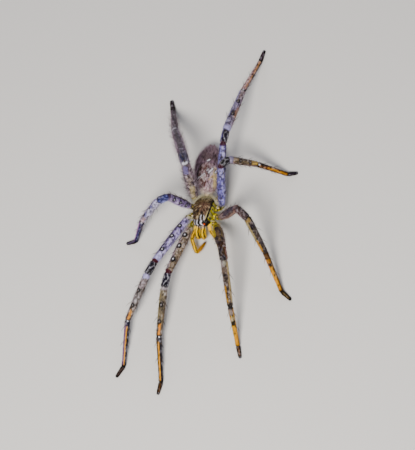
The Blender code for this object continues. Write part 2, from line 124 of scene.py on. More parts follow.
# The spines: rows with a turn from the top in degrees, and shares of the length
SPINE_ROWS = {
    FEMUR: ((8, (0.26, 0.49, 0.77)), (62, (0.36, 0.62, 0.86)), (-62, (0.32, 0.58, 0.84))),
    PATELLA: ((0, (0.2, 0.6)),),
    TIBIA: ((10, (0.36, 0.69)), (75, (0.24, 0.60)), (-75, (0.30, 0.66)),
            (150, (0.20, 0.56)), (-150, (0.26, 0.62))),
    METATARSUS: ((70, (0.12, 0.46)), (-70, (0.16, 0.50)), (150, (0.10, 0.44)), (-150, (0.14, 0.40))),
}
SPINE_LENGTH = {FEMUR: 2.5, PATELLA: 2.5, TIBIA: 2.8, METATARSUS: 2.3}
SPINE_WIDTH = 0.20
SPINE_RISE = 36         # degrees above the skin at the root
SPINE_CURL = -16
SPINE_TIP = "1C1214"
CLAW_LENGTH = 0.5
CLAW_WIDTH = 0.11
CLAW_RISE = 35
CLAW_CURL = -95

# The body
CARAPACE_LENGTH = 10.6
CARAPACE_HALF = 3.9
CARAPACE_FRONT = -5.7
STERNUM_HEIGHT = 3.0
RIM_HEIGHT = 5.5
CROWN_HEIGHT = 8.4
HEAD_LEAN = 0.0755      # how far the head goes to the spider's right for each mm forward
WAIST_PLACE = 4.9
FOVEA = 1.5
ABDOMEN_FRONT = 5.25
ABDOMEN_LENGTH = 17.2
ABDOMEN_HALF = 4.7
ABDOMEN_ASIDE = -0.4
ABDOMEN_BELLY = 2.3
ABDOMEN_BACK = 10.3
ABDOMEN_MIDDLE = (ABDOMEN_BELLY + ABDOMEN_BACK) / 2
SPINNERETS = ((0.75, 0.45, 1.1), (1.5, 0.55, 0.8))
SPINNERET_ROOT = 1.2
CAP = 0.10              # share of v that closes each end of the body's skins

PALP_RADIUS = 0.62
PALP_SIZES = (1.20, 0.98, 1.00, 1.08, 0.94, 0.86, 0.38)     # of that radius, at the points of a path
PALP_PATHS = {
    "right": ((-2.3, -3.6, 4.4), (-3.3, -6.5, 3.2), (-3.45, -9.9, 4.9), (-2.6, -12.2, 3.7),
              (-1.8, -13.9, 2.6), (-0.7, -12.0, 2.0), (0.4, -9.7, 1.4)),
    "left": ((1.3, -3.6, 4.6), (2.3, -6.6, 4.0), (4.4, -8.9, 4.6), (5.6, -11.0, 3.6),
             (6.2, -12.8, 2.6), (6.6, -14.5, 1.8), (6.9, -16.4, 1.2)),
}
JAW_STATIONS = (
    # forward of the face, height, half width, half depth, outward
    (-0.6, 5.55, 0.74, 0.66, 0.95),
    (0.4, 5.53, 0.77, 0.76, 0.95),
    (1.1, 5.38, 0.81, 0.93, 0.96),
    (2.0, 4.80, 0.82, 0.99, 0.96),
    (2.45, 3.85, 0.78, 0.90, 0.93),
    (2.35, 2.85, 0.62, 0.71, 0.87),
    (2.22, 2.20, 0.40, 0.43, 0.81),
)

# How finely the skins are divided: round and along, the legs' and palps' by steps in mm
LEG_AROUND, LEG_STEP = 48, 0.15
PALP_AROUND, PALP_STEP = 32, 0.13
CARAPACE_GRID = (128, 150)
ABDOMEN_GRID = (128, 210)
JAW_GRID = (40, 60)
SPINNERET_GRID = (20, 30)
FANG_GRID = (20, 36)

# Seeds of the random draws, the limbs' counted on from these
CARAPACE_SEED, ABDOMEN_SEED = 101, 202
LEG_SEED, PALP_SEED, JAW_SEED = 300, 400, 500

# The lights: bearing and rise in degrees, distance and size in metres, power and tint
LIGHTS = {
    "key": (0, 59, 0.50, 0.14, 3.6, "FFFAF4"),
    "fill": (110, 40, 0.60, 0.50, 0.6, "E8EEFF"),
    "rim": (215, 35, 0.60, 0.40, 0.7, "F2F0FF"),
}

# The spider's colours, as sRGB hex values
COLOURS = {
    "pale lilac": "C6C2E2",
    "violet": "6C66A0",
    "mauve": "85707C",
    "dark olive": "463C22",
    "beige": "A89C72",
    "straw": "9C8B4C",
    "cream": "E3C77E",
    "gold": "D9AA00",
    "orange": "DDA008",
    "navy": "171A45",
    "maroon": "4A0A28",
    "plum": "1E1430",
    "pink": "C2A2A0",
    "peach": "DDB078",
    "pink brown": "8E6E66",
    "rose grey": "B7A6AC",
    "white": "F4F3FA",
    "yellow": "FFDE00",
    "yellow green": "B2AE10",
    "brown": "55422A",
    "ash": "A59DA6",
    "black": "070509",
    "umber": "33200F",
    "rust": "54301F",
}


def linear(value):
    """One sRGB channel, 0 to 1, as linear light."""
    return value / 12.92 if value <= 0.04045 else ((value + 0.055) / 1.055) ** 2.4


def colour(name):
    """A named colour, or a hex value, as linear light."""
    code = COLOURS.get(name, name)
    return np.array([linear(int(code[i:i + 2], 16) / 255) for i in (0, 2, 4)])


def mix(first, second, share):
    """Two colours, or rows of colours, blended row by row."""
    share = np.asarray(share)[..., None]
    return first * (1 - share) + second * share


def step(low, high, value):
    """0 below low, 1 above high and smooth between them; low may be the larger one."""
    share = np.clip((value - low) / (high - low), 0, 1)
    return share * share * (3 - 2 * share)


def band(value, low, high, edge):
    """1 between low and high, fading over the edge to 0."""
    return step(low - edge, low, value) * step(high + edge, high, value)


def cloud(places, grain, seed=0):
    """Smooth noise from 0 to 1 with lumps of about the given grain, in mm."""
    cells = places / grain + seed * 17.31
    low = np.floor(cells).astype(np.int64)
    part = cells - low
    part = part * part * (3 - 2 * part)
    total = np.zeros(len(places))
    for corner in product((0, 1), repeat=3):
        key = (low + corner) @ np.array([73856093, 19349663, 83492791])
        key = (key ^ (key >> 13)) * 1274126177
        value = ((key ^ (key >> 16)) & 0xFFFFFF) / 0xFFFFFF
        total += value * np.prod(np.where(corner, part, 1 - part), axis=1)
    return total


def eased(stations, blur):
    """A smooth curve through (place, value) stations, as a function of the place."""
    places, values = np.array(stations, float).T
    fine = np.linspace(places[0], places[-1], 1201)
    line = np.interp(fine, places, values)
    reach = max(1, int(blur / (places[-1] - places[0]) * 1200))
    kernel = np.hanning(2 * reach + 3)[1:-1]
    padded = np.pad(line, reach, mode="reflect", reflect_type="odd")
    soft = np.convolve(padded, kernel / kernel.sum(), mode="valid")
    return lambda place: np.interp(place, fine, soft)


def unit(rows):
    """Each row of an array at length one."""
    return rows / np.maximum(np.linalg.norm(rows, axis=-1, keepdims=True), 1e-12)


def turn_at(u):
    """The turn from a skin's top, in radians, at a share round it."""
    return (u - 0.5) * math.tau


def measured(points):
    """How far along the line through some points each of them lies."""
    return np.concatenate(([0.0], np.cumsum([np.linalg.norm(b - a) for a, b in zip(points, points[1:])])))


def in_metres(places):
    """Points of the spider's own frame, in mm, as points of the frame, kept above the floor."""
    moved = places + BODY_AT
    moved[..., 2] = np.maximum(moved[..., 2], FLOOR_CLEAR)
    return moved * MM


class Limb:
    """A limb's middle line, rounded at its joints, with the half width and depth of its skin."""

    STEP = 0.05

    def __init__(self, points, wide, deep=None, across=None):
        points = np.array(points, float)
        legs = np.diff(points, axis=0)
        lengths = np.linalg.norm(legs, axis=1)
        ways = unit(legs)
        self.joints = np.concatenate(([0.0], np.cumsum(lengths)))
        self.length = self.joints[-1]
        self.wide = wide
        self.deep = deep or wide
        self.line = np.linspace(0, self.length, int(self.length / self.STEP) + 2)
        index = np.clip(np.searchsorted(self.joints, self.line, side="right") - 1, 0, len(legs) - 1)
        self.centre = points[index] + ways[index] * (self.line - self.joints[index])[:, None]
        self.way = ways[index].copy()
        for joint in range(1, len(legs)):
            self.round_joint(points[joint], ways[joint - 1], ways[joint], joint, lengths)
        if across is None:
            self.across = unit(np.cross(self.way, (0, 0, 1)))
        else:
            self.across = np.tile(np.array(across, float), (len(self.line), 1))
        self.up = np.cross(self.across, self.way)

    def round_joint(self, point, before, after, joint, lengths):
        """Replace a corner of the middle line by an arc."""
        bend = math.acos(min(1, max(-1, before @ after)))
        if bend < 0.02:
            return
        half = math.tan(bend / 2)
        room = float(self.wide(self.joints[joint])) + BEND_ROOM
        reach = min(room * half, 0.46 * lengths[joint - 1], 0.46 * lengths[joint])
        radius = reach / half
        inward = unit(after - before * (before @ after))
        near = np.abs(self.line - self.joints[joint]) < reach
        turn = (self.line[near] - self.joints[joint] + reach) / (2 * reach) * bend
        arc = np.outer(np.sin(turn), before) + np.outer(1 - np.cos(turn), inward)
        self.centre[near] = point - before * reach + radius * arc
        self.way[near] = np.outer(np.cos(turn), before) + np.outer(np.sin(turn), inward)

    def look_up(self, table, along):
        """Rows of one of the limb's tables at places along it."""
        return np.stack([np.interp(along, self.line, table[:, axis]) for axis in range(3)], axis=-1)

    def at(self, along, turn, lift=0.0):
        """Points of the skin, by their place along the limb and their turn from its top."""
        deep = (self.deep(along) + lift) * np.cos(turn)
        wide = (self.wide(along) + lift) * np.sin(turn)
        return (self.look_up(self.centre, along) + self.look_up(self.up, along) * deep[..., None]
                + self.look_up(self.across, along) * wide[..., None])

    def surface(self, u, v):
        """The skin by its two shares, with its seam underneath."""
        return self.at(v * self.length, turn_at(u))


def closing(along, length, first, last):
    """What shrinks a limb's skin to a point at both ends, over a first and a last length."""
    start = np.clip(1 - along / first, 0, 1)
    end = np.clip(1 - (length - along) / last, 0, 1)
    return np.sqrt(np.clip(1 - start ** 2, 0, 1)) * np.sqrt(np.clip(1 - end ** 2, 0, 1))


def heading(bearing, rise):
    """The unit vector of a bearing and a rise in degrees."""
    turn = math.radians(bearing)
    lift = math.radians(rise)
    return np.array([math.cos(turn) * math.cos(lift), math.sin(turn) * math.cos(lift), math.sin(lift)])


def leg_points(side, pair):
    """The inner end of a leg's coxa, its hip, its joints and its toe."""
    size = LEG_SIZES[pair]
    stance = STANCES[side, pair]
    mirror = 1 if side == "left" else -1
    across, share, height = COXA_START
    points = [np.array([mirror * across, size.hip_y * share, height])]
    points.append(np.array([mirror * size.hip_x, size.hip_y, HIP_HEIGHT]))
    femur = heading(stance.femur, stance.femur_rise)
    tibia = heading(stance.tibia, stance.tibia_rise)
    patella = unit(femur + PATELLA_LEAN * tibia)
    points.append(points[-1] + femur * size.femur * stance.reach)
    points.append(points[-1] + patella * size.patella * stance.reach)
    points.append(points[-1] + tibia * size.tibia * stance.reach)
    for length, bearing, height in (
        (size.metatarsus, stance.metatarsus, ANKLE_HEIGHT),
        (size.tarsus, stance.tarsus, TOE_HEIGHT),
    ):
        length *= stance.reach
        fall = math.degrees(math.asin((points[-1][2] - height) / length))
        points.append(points[-1] + heading(bearing, -fall) * length)
    return points


def leg_limb(side, pair):
    """A whole leg from inside the body to its toe."""
    points = leg_points(side, pair)
    lengths = [float(np.linalg.norm(b - a)) for a, b in zip(points, points[1:])]
    joints = np.concatenate(([0], np.cumsum(lengths)))
    stations = []
    stouts = STOUT.get((side, pair), (1.0,) * len(SHAPES))
    for start, length, shape, stout in zip(joints, lengths, SHAPES, stouts):
        stations += [(start + length * share + (0.001 if share == 0 else 0), radius * stout)
                     for share, radius in shape]
    smooth = eased(stations, 0.5)
    whole = joints[-1]

    def radius(along):
        along = np.asarray(along, float)
        slim = smooth(along) * SLIMMER - COAT_DEPTH
        for joint in joints[1:-1]:
            away = np.abs(along - joint)
            slim = slim * (1 - WAIST * np.exp(-(away / WAIST_LENGTH) ** 2))
            slim = slim * (1 + LIP * np.exp(-((away - LIP_PLACE) / 0.35) ** 2))
        return slim * closing(along, whole, 0.8, 0.30)

    return Limb(points, radius)


def leg_spines(key, limb, draw):
    """Where the spines of a leg stand: piece, place along it, turn from its top and length."""
    found = []
    for piece, rows in SPINE_ROWS.items():
        start, end = limb.joints[piece], limb.joints[piece + 1]
        if piece == PATELLA and key != SHAGGY:
            continue
        for turn, shares in rows:
            for share in shares:
                along = start + (end - start) * (share + draw.uniform(-0.012, 0.012))
                length = SPINE_LENGTH[piece] * draw.uniform(0.88, 1.12)
                found.append((piece, along, math.radians(turn + draw.uniform(-5, 5)), length))
    return found


# How each leg is marked. A place round a leg is its side: 0 in the middle of the upper marking,
# which lies at the crest's turn since the legs are rolled, 1 at its edge towards larger turns and
# -1 at the other edge. Rows give a length's minus edge, middle, plus edge and far end. Blotches are
# for the femur and for the rest, rings the reach in mm of the upper spots of femur and tibia.
Dress = namedtuple("Dress", ("crest", "femur", "patella", "tibia", "metatarsus", "blotches", "speckle",
                             "red_knee", "pearl", "foot", "rings", "zones", "dots"))
Zone = namedtuple("Zone", "piece start end low high name strength")
Dot = namedtuple("Dot", "piece share side size name")
DRESSES = {
    ("left", 1): Dress(
        (8, -9, -7, -9, -9, -7), ("6E5A38", "5A4630", "5A463C", "5C4A38"),
        ("pink brown", "brown", "umber", "umber"), ("8E7A68", "766A60", "887A70", "84745E"),
        ("gold", "straw", "gold", "gold"), (0.9, 0.35), 0.8, 0.1, "black", "7A5412", (0, 0),
        (Zone(FEMUR, 0.0, 0.11, -1, 1, "D8CC20", 0.85),
         Zone(FEMUR, 0.12, 0.17, -0.8, 0.8, "black", 0.8),
         Zone(FEMUR, 0.18, 0.24, -1, 1, "D8CC20", 0.8),
         Zone(FEMUR, 0.26, 0.31, -0.7, 0.9, "black", 0.7),
         Zone(FEMUR, 0.0, 0.62, 0.55, 1, "C8B838", 0.75),
         Zone(FEMUR, 0.05, 0.75, -0.85, -0.50, "B8A878", 0.6),
         Zone(FEMUR, 0.1, 0.95, -1, -0.75, "rose grey", 0.5),
         Zone(TIBIA, 0, 0.07, -0.4, 0.4, "B0B0A4", 0.6),
         Zone(TIBIA, 0.55, 0.9, 0.5, 1, "gold", 0.5),
         Zone(METATARSUS, 0.0, 0.18, -0.5, 1, "ash", 0.6),
         Zone(METATARSUS, 0.36, 0.45, -0.7, 1, "black", 0.85),
         Zone(METATARSUS, 0.45, 0.95, -0.6, 0.6, "gold", 0.8),
         Zone(METATARSUS, 0.45, 0.95, 0.75, 1, "cream", 0.6),
         Zone(TIBIA, 0.06, 0.92, -1, -0.55, "D6C8A0", 0.55),
         Zone(TIBIA, 0.93, 1, -0.9, 0.9, "black", 0.7),
         Zone(FEMUR, 0.45, 0.95, -0.15, 0.25, "A89478", 0.5)),
        (Dot(TIBIA, 0.30, 0.4, 0.42, "black"), Dot(TIBIA, 0.42, 0.5, 0.36, "black"),
         Dot(TIBIA, 0.61, 0.1, 0.40, "black"), Dot(TIBIA, 0.78, 0.4, 0.30, "umber"),
         Dot(METATARSUS, 0.66, 0.2, 0.32, "black"), Dot(METATARSUS, 0.2, -0.2, 0.30, "umber"))),
    ("left", 2): Dress(
        (16, 56, 7, 0, -3, 7), ("8C7A70", "988480", "7C686A", "8A7A7A"),
        ("4A3C34", "5E4C4A", "7A6264", "5E4C4A"), ("3A2C1E", "5E5046", "8C7C64", "625648"),
        ("6E5224", "B0862E", "E0A010", "D09A20"), (0.5, 0.5), 0.6, 0.3, "black", "8A7650", (0.6, 0),
        (Zone(FEMUR, 0.4, 0.95, -0.8, 0.2, "navy", 0.6),
         Zone(FEMUR, 0.2, 1, 0.8, 1, "C0A89A", 0.5),
         Zone(TIBIA, 0, 0.07, -0.5, 0.7, "cream", 0.35),
         Zone(TIBIA, 0.08, 0.62, 0.5, 1, "D2C69A", 0.55),
         Zone(TIBIA, 0.62, 0.93, 0.4, 1, "gold", 0.7),
         Zone(METATARSUS, 0.02, 0.16, -1, 1, "umber", 0.7),
         Zone(METATARSUS, 0.30, 0.37, -0.5, 0.5, "black", 0.9),
         Zone(METATARSUS, 0.38, 0.96, -0.2, 0.8, "gold", 0.8)),
        (Dot(METATARSUS, 0.58, 0.1, 0.32, "black"), Dot(METATARSUS, 0.83, 0.2, 0.30, "black"),
         Dot(TIBIA, 0.27, 0.2, 0.42, "black"), Dot(TIBIA, 0.56, 0.4, 0.36, "black"),
         Dot(TIBIA, 0.93, 0.3, 0.45, "black"))),
    ("left", 3): Dress(
        (21, 15, 22, 26, 20, 21), ("9490C4", "9490C4", "A8A4CC", "B4B0D8"),
        ("black", "black", "plum", "black"), ("8E8478", "A8987E", "98827C", "CCB480"),
        ("6A5224", "B07C1C", "8A6428", "C08A20"), (0.05, 0.2), 1.0, 0.9, "white", "74687C", (0.32, 0.8),
        (Zone(TIBIA, 0, 0.10, -1, 1, "pale lilac", 0.5),
         Zone(TIBIA, 0.62, 0.95, -0.6, 0.3, "cream", 0.7),
         Zone(METATARSUS, 0.04, 0.34, -1, -0.15, "black", 0.9),
         Zone(METATARSUS, 0.34, 0.96, -0.2, 0.5, "gold", 0.7)),
        (Dot(METATARSUS, 0.39, -0.4, 0.40, "black"), Dot(METATARSUS, 0.68, -0.3, 0.28, "black"))),
    ("left", 4): Dress(
        (22, 14, 14, 19, 21, 17), ("9490C4", "9894C2", "8078A8", "B4B0D8"),
        ("violet", "plum", "black", "plum"), ("ACA6C8", "AEA4BC", "9C8C9C", "C2AEAA"),
        ("DCBEBC", "D4B6B4", "6A5862", "EAC6AA"), (0.05, 0.3), 1.0, 0.8, "white", "82707C", (0.45, 0.85),
        (Zone(TIBIA, 0, 0.08, -1, 1, "pale lilac", 0.85),
         Zone(TIBIA, 0.3, 0.55, 0.3, 1, "peach", 0.3),
         Zone(TIBIA, 0.88, 0.97, -0.6, 0.4, "ash", 0.4),
         Zone(METATARSUS, 0.10, 0.95, 0.05, 0.40, "peach", 0.6)),
        (Dot(METATARSUS, 0.53, 0.0, 0.40, "plum"), Dot(METATARSUS, 0.24, 0.3, 0.30, "plum"),
         Dot(METATARSUS, 0.80, -0.3, 0.26, "plum"))),
    ("right", 1): Dress(
        (-22, -18, -15, -13, -10, -15), ("9A8A78", "A29688", "AA9CA0", "948878"),
        ("plum", "plum", "plum", "black"), ("8E8270", "948A78", "8A806C", "8E7E66"),
        # its metatarsus is dark navy at the minus edge and middle: partly its own colour, partly painted
        # shade on the side turned from the light
        ("2A2430", "34303C", "6A5438", "34303C"), (0.2, 0.3), 0.8, 1.0, "white", "7A5C3C", (1.0, 0.85),
        (Zone(TIBIA, 0, 0.05, -1, 1, "C8C4D0", 0.5),
         Zone(TIBIA, 0.72, 0.97, -0.2, 0.35, "orange", 0.95),
         Zone(TIBIA, 0.05, 0.60, 0.7, 1, "beige", 0.5),
         Zone(METATARSUS, 0.14, 0.40, 0.05, 0.45, "gold", 0.95),
         Zone(METATARSUS, 0.43, 0.70, 0.05, 0.50, "gold", 0.95),
         Zone(METATARSUS, 0.73, 1, 0.02, 0.50, "gold", 0.95)),
        (Dot(FEMUR, 0.40, 0.3, 0.24, "umber"), Dot(FEMUR, 0.66, 0.35, 0.20, "umber"),
         Dot(TIBIA, 0.47, -0.1, 0.24, "black"), Dot(TIBIA, 0.49, 0.45, 0.20, "black"))),
    ("right", 2): Dress(
        (-20, -21, -19, -18, -13, -20), ("C6BEE2", "B8AED4", "8A7EA2", "D0CCE8"),
        ("black", "plum", "plum", "black"), ("A29A96", "A29C9A", "988E90", "A48E74"),
        # its metatarsus is dark navy at the minus edge and middle: partly its own colour, partly painted
        # shade on the side turned from the light
        ("1C1E38", "2C2A46", "76606A", "2C2A46"), (0.03, 0.2), 1.0, 1.0, "white", "7C6A66", (0.9, 0.8),
        (Zone(FEMUR, 0.9, 1, -1, 1, "pale lilac", 0.7),
         Zone(TIBIA, 0, 0.07, -1, 1, "pale lilac", 0.9),
         Zone(TIBIA, 0.12, 0.3, -0.6, 0.5, "mauve", 0.3),
         Zone(TIBIA, 0.77, 0.97, -0.35, 0.4, "D2A060", 0.85),
         Zone(METATARSUS, 0.14, 0.98, -0.12, 0.26, "gold", 0.95),
         Zone(METATARSUS, 0.12, 0.98, 0.36, 0.9, "8A7290", 0.9)),
        (Dot(METATARSUS, 0.42, 0.35, 0.20, "umber"), Dot(TIBIA, 0.55, 0.3, 0.18, "umber"))),
    ("right", 3): Dress(
        (-16, -53, -22, -32, -37, -22), ("C4B6D6", "A898BC", "84749A", "B4A8C8"),
        ("A4A6D0", "6468A0", "4C4E78", "6468A0"), ("E8E4F8", "E4E2FA", "B4AACC", "EEE0EA"),
        ("2A2850", "3C3474", "8A70B4", "302A64"), (0.35, 0.25), 0.9, 0.2, "white", "8E84A0", (0.85, 0.5),
        (Zone(FEMUR, 0.1, 0.9, 0.75, 1, "3A2A36", 0.8),
         Zone(TIBIA, 0.78, 0.95, -0.6, 0.4, "pink", 0.5),
         Zone(TIBIA, 0.6, 0.72, -0.2, 0.9, "violet", 0.7),
         Zone(TIBIA, 0.25, 0.32, 0.2, 0.9, "violet", 0.6),
         Zone(METATARSUS, 0.06, 1, 0.55, 1, "C09AC0", 0.8)),
        (Dot(FEMUR, 0.60, 0.2, 0.30, "3A2A36"),)),
    ("right", 4): Dress(
        (-8, 18, 5, 5, 10, 8), ("B4A6AC", "B8ACA6", "B0A0A8", "8A7A88"),
        ("8A7E94", "6A6678", "8E8496", "6A6678"), ("B29EB0", "625A6A", "A894A6", "5A5262"),
        ("9C8696", "5A4854", "6A5864", "64525E"), (0.45, 0.3), 1.0, 0.0, "navy", "5E5058", (0.3, 0.3),
        (Zone(FEMUR, 0.03, 0.45, -0.3, 0.5, "D6CC9A", 0.35),
         Zone(FEMUR, 0.82, 0.97, -0.8, 0.2, "9490B8", 0.6),
         Zone(PATELLA, 0.02, 0.16, -0.8, 0.4, "white", 0.85),
         Zone(PATELLA, 0.26, 0.86, -0.65, 0.5, "2E3450", 0.9),
         Zone(TIBIA, 0.05, 0.20, -0.5, 0.5, "2A2430", 0.7),
         Zone(TIBIA, 0.34, 0.44, -0.4, 0.6, "2A2430", 0.7),
         Zone(TIBIA, 0.56, 0.70, -0.5, 0.4, "2A2430", 0.8),
         Zone(TIBIA, 0.90, 0.97, -0.8, 0.3, "white", 0.7),
         Zone(METATARSUS, 0.38, 0.52, -0.7, 0.7, "plum", 0.7),
         Zone(METATARSUS, 0.7, 0.8, -0.3, 0.6, "plum", 0.5)),
        (Dot(METATARSUS, 0.2, 0.3, 0.3, "plum"),)),
}
RED_PATCH = (-0.55, 0.30)   # mm before and after the knee's joint that its red skin shows
SIDE_SPOT = 0.36            # mm that the spots of the side spines reach from their spine
PLAIN_SPOT = 0.45           # the same for an upper spot where the dress gives none
RING_SPOT = 0.5             # spots larger than this have a pale core
SAME_ROW = 8                # degrees within which a spine belongs to its row


def leg_colours(key, limb, spots):
    """The marking of a leg, as a function of the two shares of its skin."""
    dress = DRESSES[key]
    black, white, plum = colour("black"), colour("white"), colour("plum")
    seed = list(STANCES).index(key) + 1
    middles = (limb.joints[:-1] + limb.joints[1:]) / 2
    rows = {FEMUR: dress.femur, PATELLA: dress.patella, TIBIA: dress.tibia,
            METATARSUS: dress.metatarsus}

    def paint(u, v):
        along = v * limb.length
        turn = turn_at(u)
        places = limb.surface(u, v)
        piece = np.clip(np.searchsorted(limb.joints, along, side="right") - 1, 0, TARSUS)
        start, end = limb.joints[piece], limb.joints[piece + 1]
        share = (along - start) / (end - start)
        crest = np.radians(np.interp(along, middles, dress.crest))
        lean = (turn - crest + math.pi) % math.tau - math.pi
        side = np.where(np.abs(lean) < math.pi / 2, np.sin(lean), np.sign(lean))
        above = step(2.5, 1.8, np.abs(lean))
        lumps = cloud(places, 1.4, seed) * 0.55 + cloud(places, 0.55, seed + 9) * 0.45
        wavy = share + (lumps - 0.5) * 0.10
        across = side + (lumps - 0.5) * 0.35

        dark = step(0.20, 0.60, np.cos(along * 5.2 + 1.2 * lean + 2.5 * (lumps - 0.5)))
        shade = mix(colour("C4B820"), colour("1C180A"), 0.9 * dark)
        ring = np.hypot(along - 0.72 * limb.joints[1], limb.wide(along) * lean)
        shade = mix(shade, black, 0.95 * band(ring, 0.34, 0.62, 0.08))
        shade = mix(shade, colour("cream"), 0.9 * step(0.32, 0.22, ring))
        for number, (minus, middle, plus, far) in rows.items():
            length = mix(colour(middle), colour(far), step(0.62, 0.92, share))
            length = mix(length, colour(minus), step(-0.40, -0.80, across))
            length = mix(length, colour(plus), step(0.40, 0.80, across))
            shade = np.where((piece == number)[:, None], length, shade)
        foot = mix(colour(dress.foot), colour("umber"), step(0.1, 0.8, np.abs(across)))
        foot = mix(foot, black, step(0.78, 0.92, share) + step(0.14, 0.05, share))
        shade = np.where((piece == TARSUS)[:, None], np.clip(foot, 0, 1), shade)
        shade = mix(shade, colour("yellow green"), 0.75 * step(0.12, 0.02, share) * (piece == FEMUR))

        # a fine speckle, and dark blotches that differ from leg to leg
        flecks = cloud(places, 0.44, seed + 3)
        shade = mix(shade, shade * 0.22, dress.speckle * 0.88 * step(0.57, 0.67, flecks))
        shade = mix(shade, white, dress.speckle * 0.42 * step(0.40, 0.26, flecks))
        scribble = np.abs(cloud(places * np.array([1.0, 0.7, 1.0]), 0.95, seed + 5) - 0.5)
        scribble = step(0.075, 0.03, scribble) * (piece >= FEMUR) * (piece < TARSUS)
        shade = mix(shade, shade * 0.18, 0.65 * scribble)
        heavy = np.where(piece == FEMUR, dress.blotches[0], dress.blotches[1])
        dark = step(0.66 - 0.14 * heavy, 0.72 - 0.10 * heavy, lumps) * (piece >= FEMUR) * (piece < TARSUS)
        shade = mix(shade, plum, dark * np.minimum(0.9, 0.25 + heavy))
        # the underside darker and greyer than the top
        shade = mix(shade, shade * 0.72 + 0.05, 1 - above)

        for zone in dress.zones:
            inside = (piece == zone.piece) * above * band(wavy, zone.start, zone.end, 0.015)
            inside = inside * band(across, zone.low, zone.high, 0.10)
            shade = mix(shade, colour(zone.name), zone.strength * inside)

        # painted highlights: thin white lines on a dark knee, standing in for the glints of its shine
        highlight_lines = np.abs(np.sin(lean * 2.6 + 1.1 * np.sin(share * 7 + seed)))
        painted_highlight = (piece == PATELLA) * band(share, 0.12, 0.86, 0.06) * step(0.20, 0.06, highlight_lines) * above
        shade = mix(shade, white, painted_highlight * (0.7 if dress.red_knee > 0.5 else 0.25))

        # the joints: dark red skin at the knee, black bands lower down with one white dot
        joint_marks = (
            (PATELLA, *RED_PATCH, "maroon", dress.red_knee),
            (PATELLA, -0.20, 0.12, "umber", 0.7 - 0.6 * dress.red_knee),
            (TIBIA, -0.22, 0.02, "black", 0.75),
            (METATARSUS, -0.35, 0.55, "black", 0.95),
            (TARSUS, -0.40, 0.25, "black", 0.95),
        )
        for joint, before, after, name, strength in joint_marks:
            away = along - limb.joints[joint] + (lumps - 0.5) * 0.5
            shade = mix(shade, colour(name), strength * band(away, before, after, 0.08) * (0.4 + 0.6 * above))
        pearl = np.hypot(along - limb.joints[METATARSUS] - 0.22, limb.wide(along) * (lean + 0.15))
        shade = mix(shade, colour(dress.pearl), 0.95 * step(0.34, 0.24, pearl))

        # ring spots round the spines: white in the middle, black round it
        for number, at, spot_turn, _ in spots:
            apart = (turn - spot_turn + math.pi) % math.tau - math.pi
            away = np.hypot((along - at) * 0.9, limb.wide(at) * apart)
            size = SIDE_SPOT
            rows_of_spines = [spread for spread, _ in SPINE_ROWS[number]]
            seen = min(rows_of_spines, key=lambda spread: abs(spread - dress.crest[number]))
            if abs(math.degrees(spot_turn) - seen) < SAME_ROW and number in (FEMUR, TIBIA):
                size = dress.rings[number == TIBIA] or PLAIN_SPOT
            shade = mix(shade, black, 0.98 * step(size, size - 0.10, away + (lumps - 0.5) * 0.16))
            if size > RING_SPOT:
                core = white if number == FEMUR else colour("A6A2A4")
                shade = mix(shade, core, step(size * 0.36, size * 0.22, away))
        for dot in dress.dots:
            first, last = limb.joints[dot.piece], limb.joints[dot.piece + 1]
            at = first + dot.share * (last - first)
            away = np.hypot((along - at) * 0.8, limb.wide(at) * (lean - math.asin(dot.side)))
            shade = mix(shade, colour(dot.name), 0.95 * step(dot.size, dot.size - 0.1, away))
        return shade

    return paint


def leg_layout(limb):
    """The map of a leg: three columns, for femur, patella with tibia, and foot."""
    starts = np.array([0.0, limb.joints[PATELLA], limb.joints[METATARSUS], limb.length])
    tallest = np.diff(starts).max() * 1.04

    def lay(u, v, home):
        column = np.clip(np.searchsorted(starts, home * limb.length, side="right") - 1, 0, 2)
        x = (column + 0.02 + 0.96 * u) / 3
        y = 0.01 + (v * limb.length - starts[column] + 0.2) / tallest * 0.97
        return np.stack([x, y], axis=-1)

    return lay


def plain_layout(u, v, home):
    """The map of a skin that is not divided."""
    return np.stack([0.01 + 0.98 * u, 0.01 + 0.98 * v + 0 * home], axis=-1)


def make_object(name, mesh, material):
    """A piece in place, riding on the body."""
    mesh.materials.append(material)
    mesh.shade_smooth()
    piece = bpy.data.objects.new(name, mesh)
    bpy.context.scene.collection.objects.link(piece)
    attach(piece, BODY)
    return piece


def wrap(name, surface, around, along, paint, layout, material):
    """A skin: a flat grid laid on a surface by its two shares, with seam and poles welded."""
    shape = bmesh.new()
    shape.loops.layers.uv.new(BAKE_MAP)
    bmesh.ops.create_grid(shape, x_segments=around, y_segments=along, size=0.5, calc_uvs=True)
    flat = np.array([vertex.co[:2] for vertex in shape.verts]) + 0.5
    for vertex, place in zip(shape.verts, in_metres(surface(flat[:, 0], flat[:, 1]))):
        vertex.co = place
    bmesh.ops.remove_doubles(shape, verts=shape.verts, dist=WELD)
    bmesh.ops.recalc_face_normals(shape, faces=shape.faces)
    mesh = bpy.data.meshes.new(name)
    shape.to_mesh(mesh)
    shape.free()
    shares = np.empty(len(mesh.loops) * 2, np.float32)
    mesh.uv_layers[BAKE_MAP].uv.foreach_get("vector", shares)
    u, v = np.clip(shares.astype(float).reshape(-1, 2).T, 0, 1)
    sizes = np.empty(len(mesh.polygons), np.int32)
    mesh.polygons.foreach_get("loop_total", sizes)
    starts = np.concatenate(([0], np.cumsum(sizes)[:-1]))
    home = np.repeat(np.add.reduceat(v, starts) / sizes, sizes)
    mesh.uv_layers[BAKE_MAP].uv.foreach_set("vector", layout(u, v, home).astype(np.float32).ravel())
    add_marking(mesh, paint(u, v), "CORNER")
    return make_object(name, mesh, material)


def deepened(shades):
    """Darker and fuller colours, since the shine of skin and hairs pales them."""
    grey = shades.mean(axis=-1, keepdims=True)
    return np.clip(grey + (shades - grey) * 1.35, 0, 1) ** 1.25


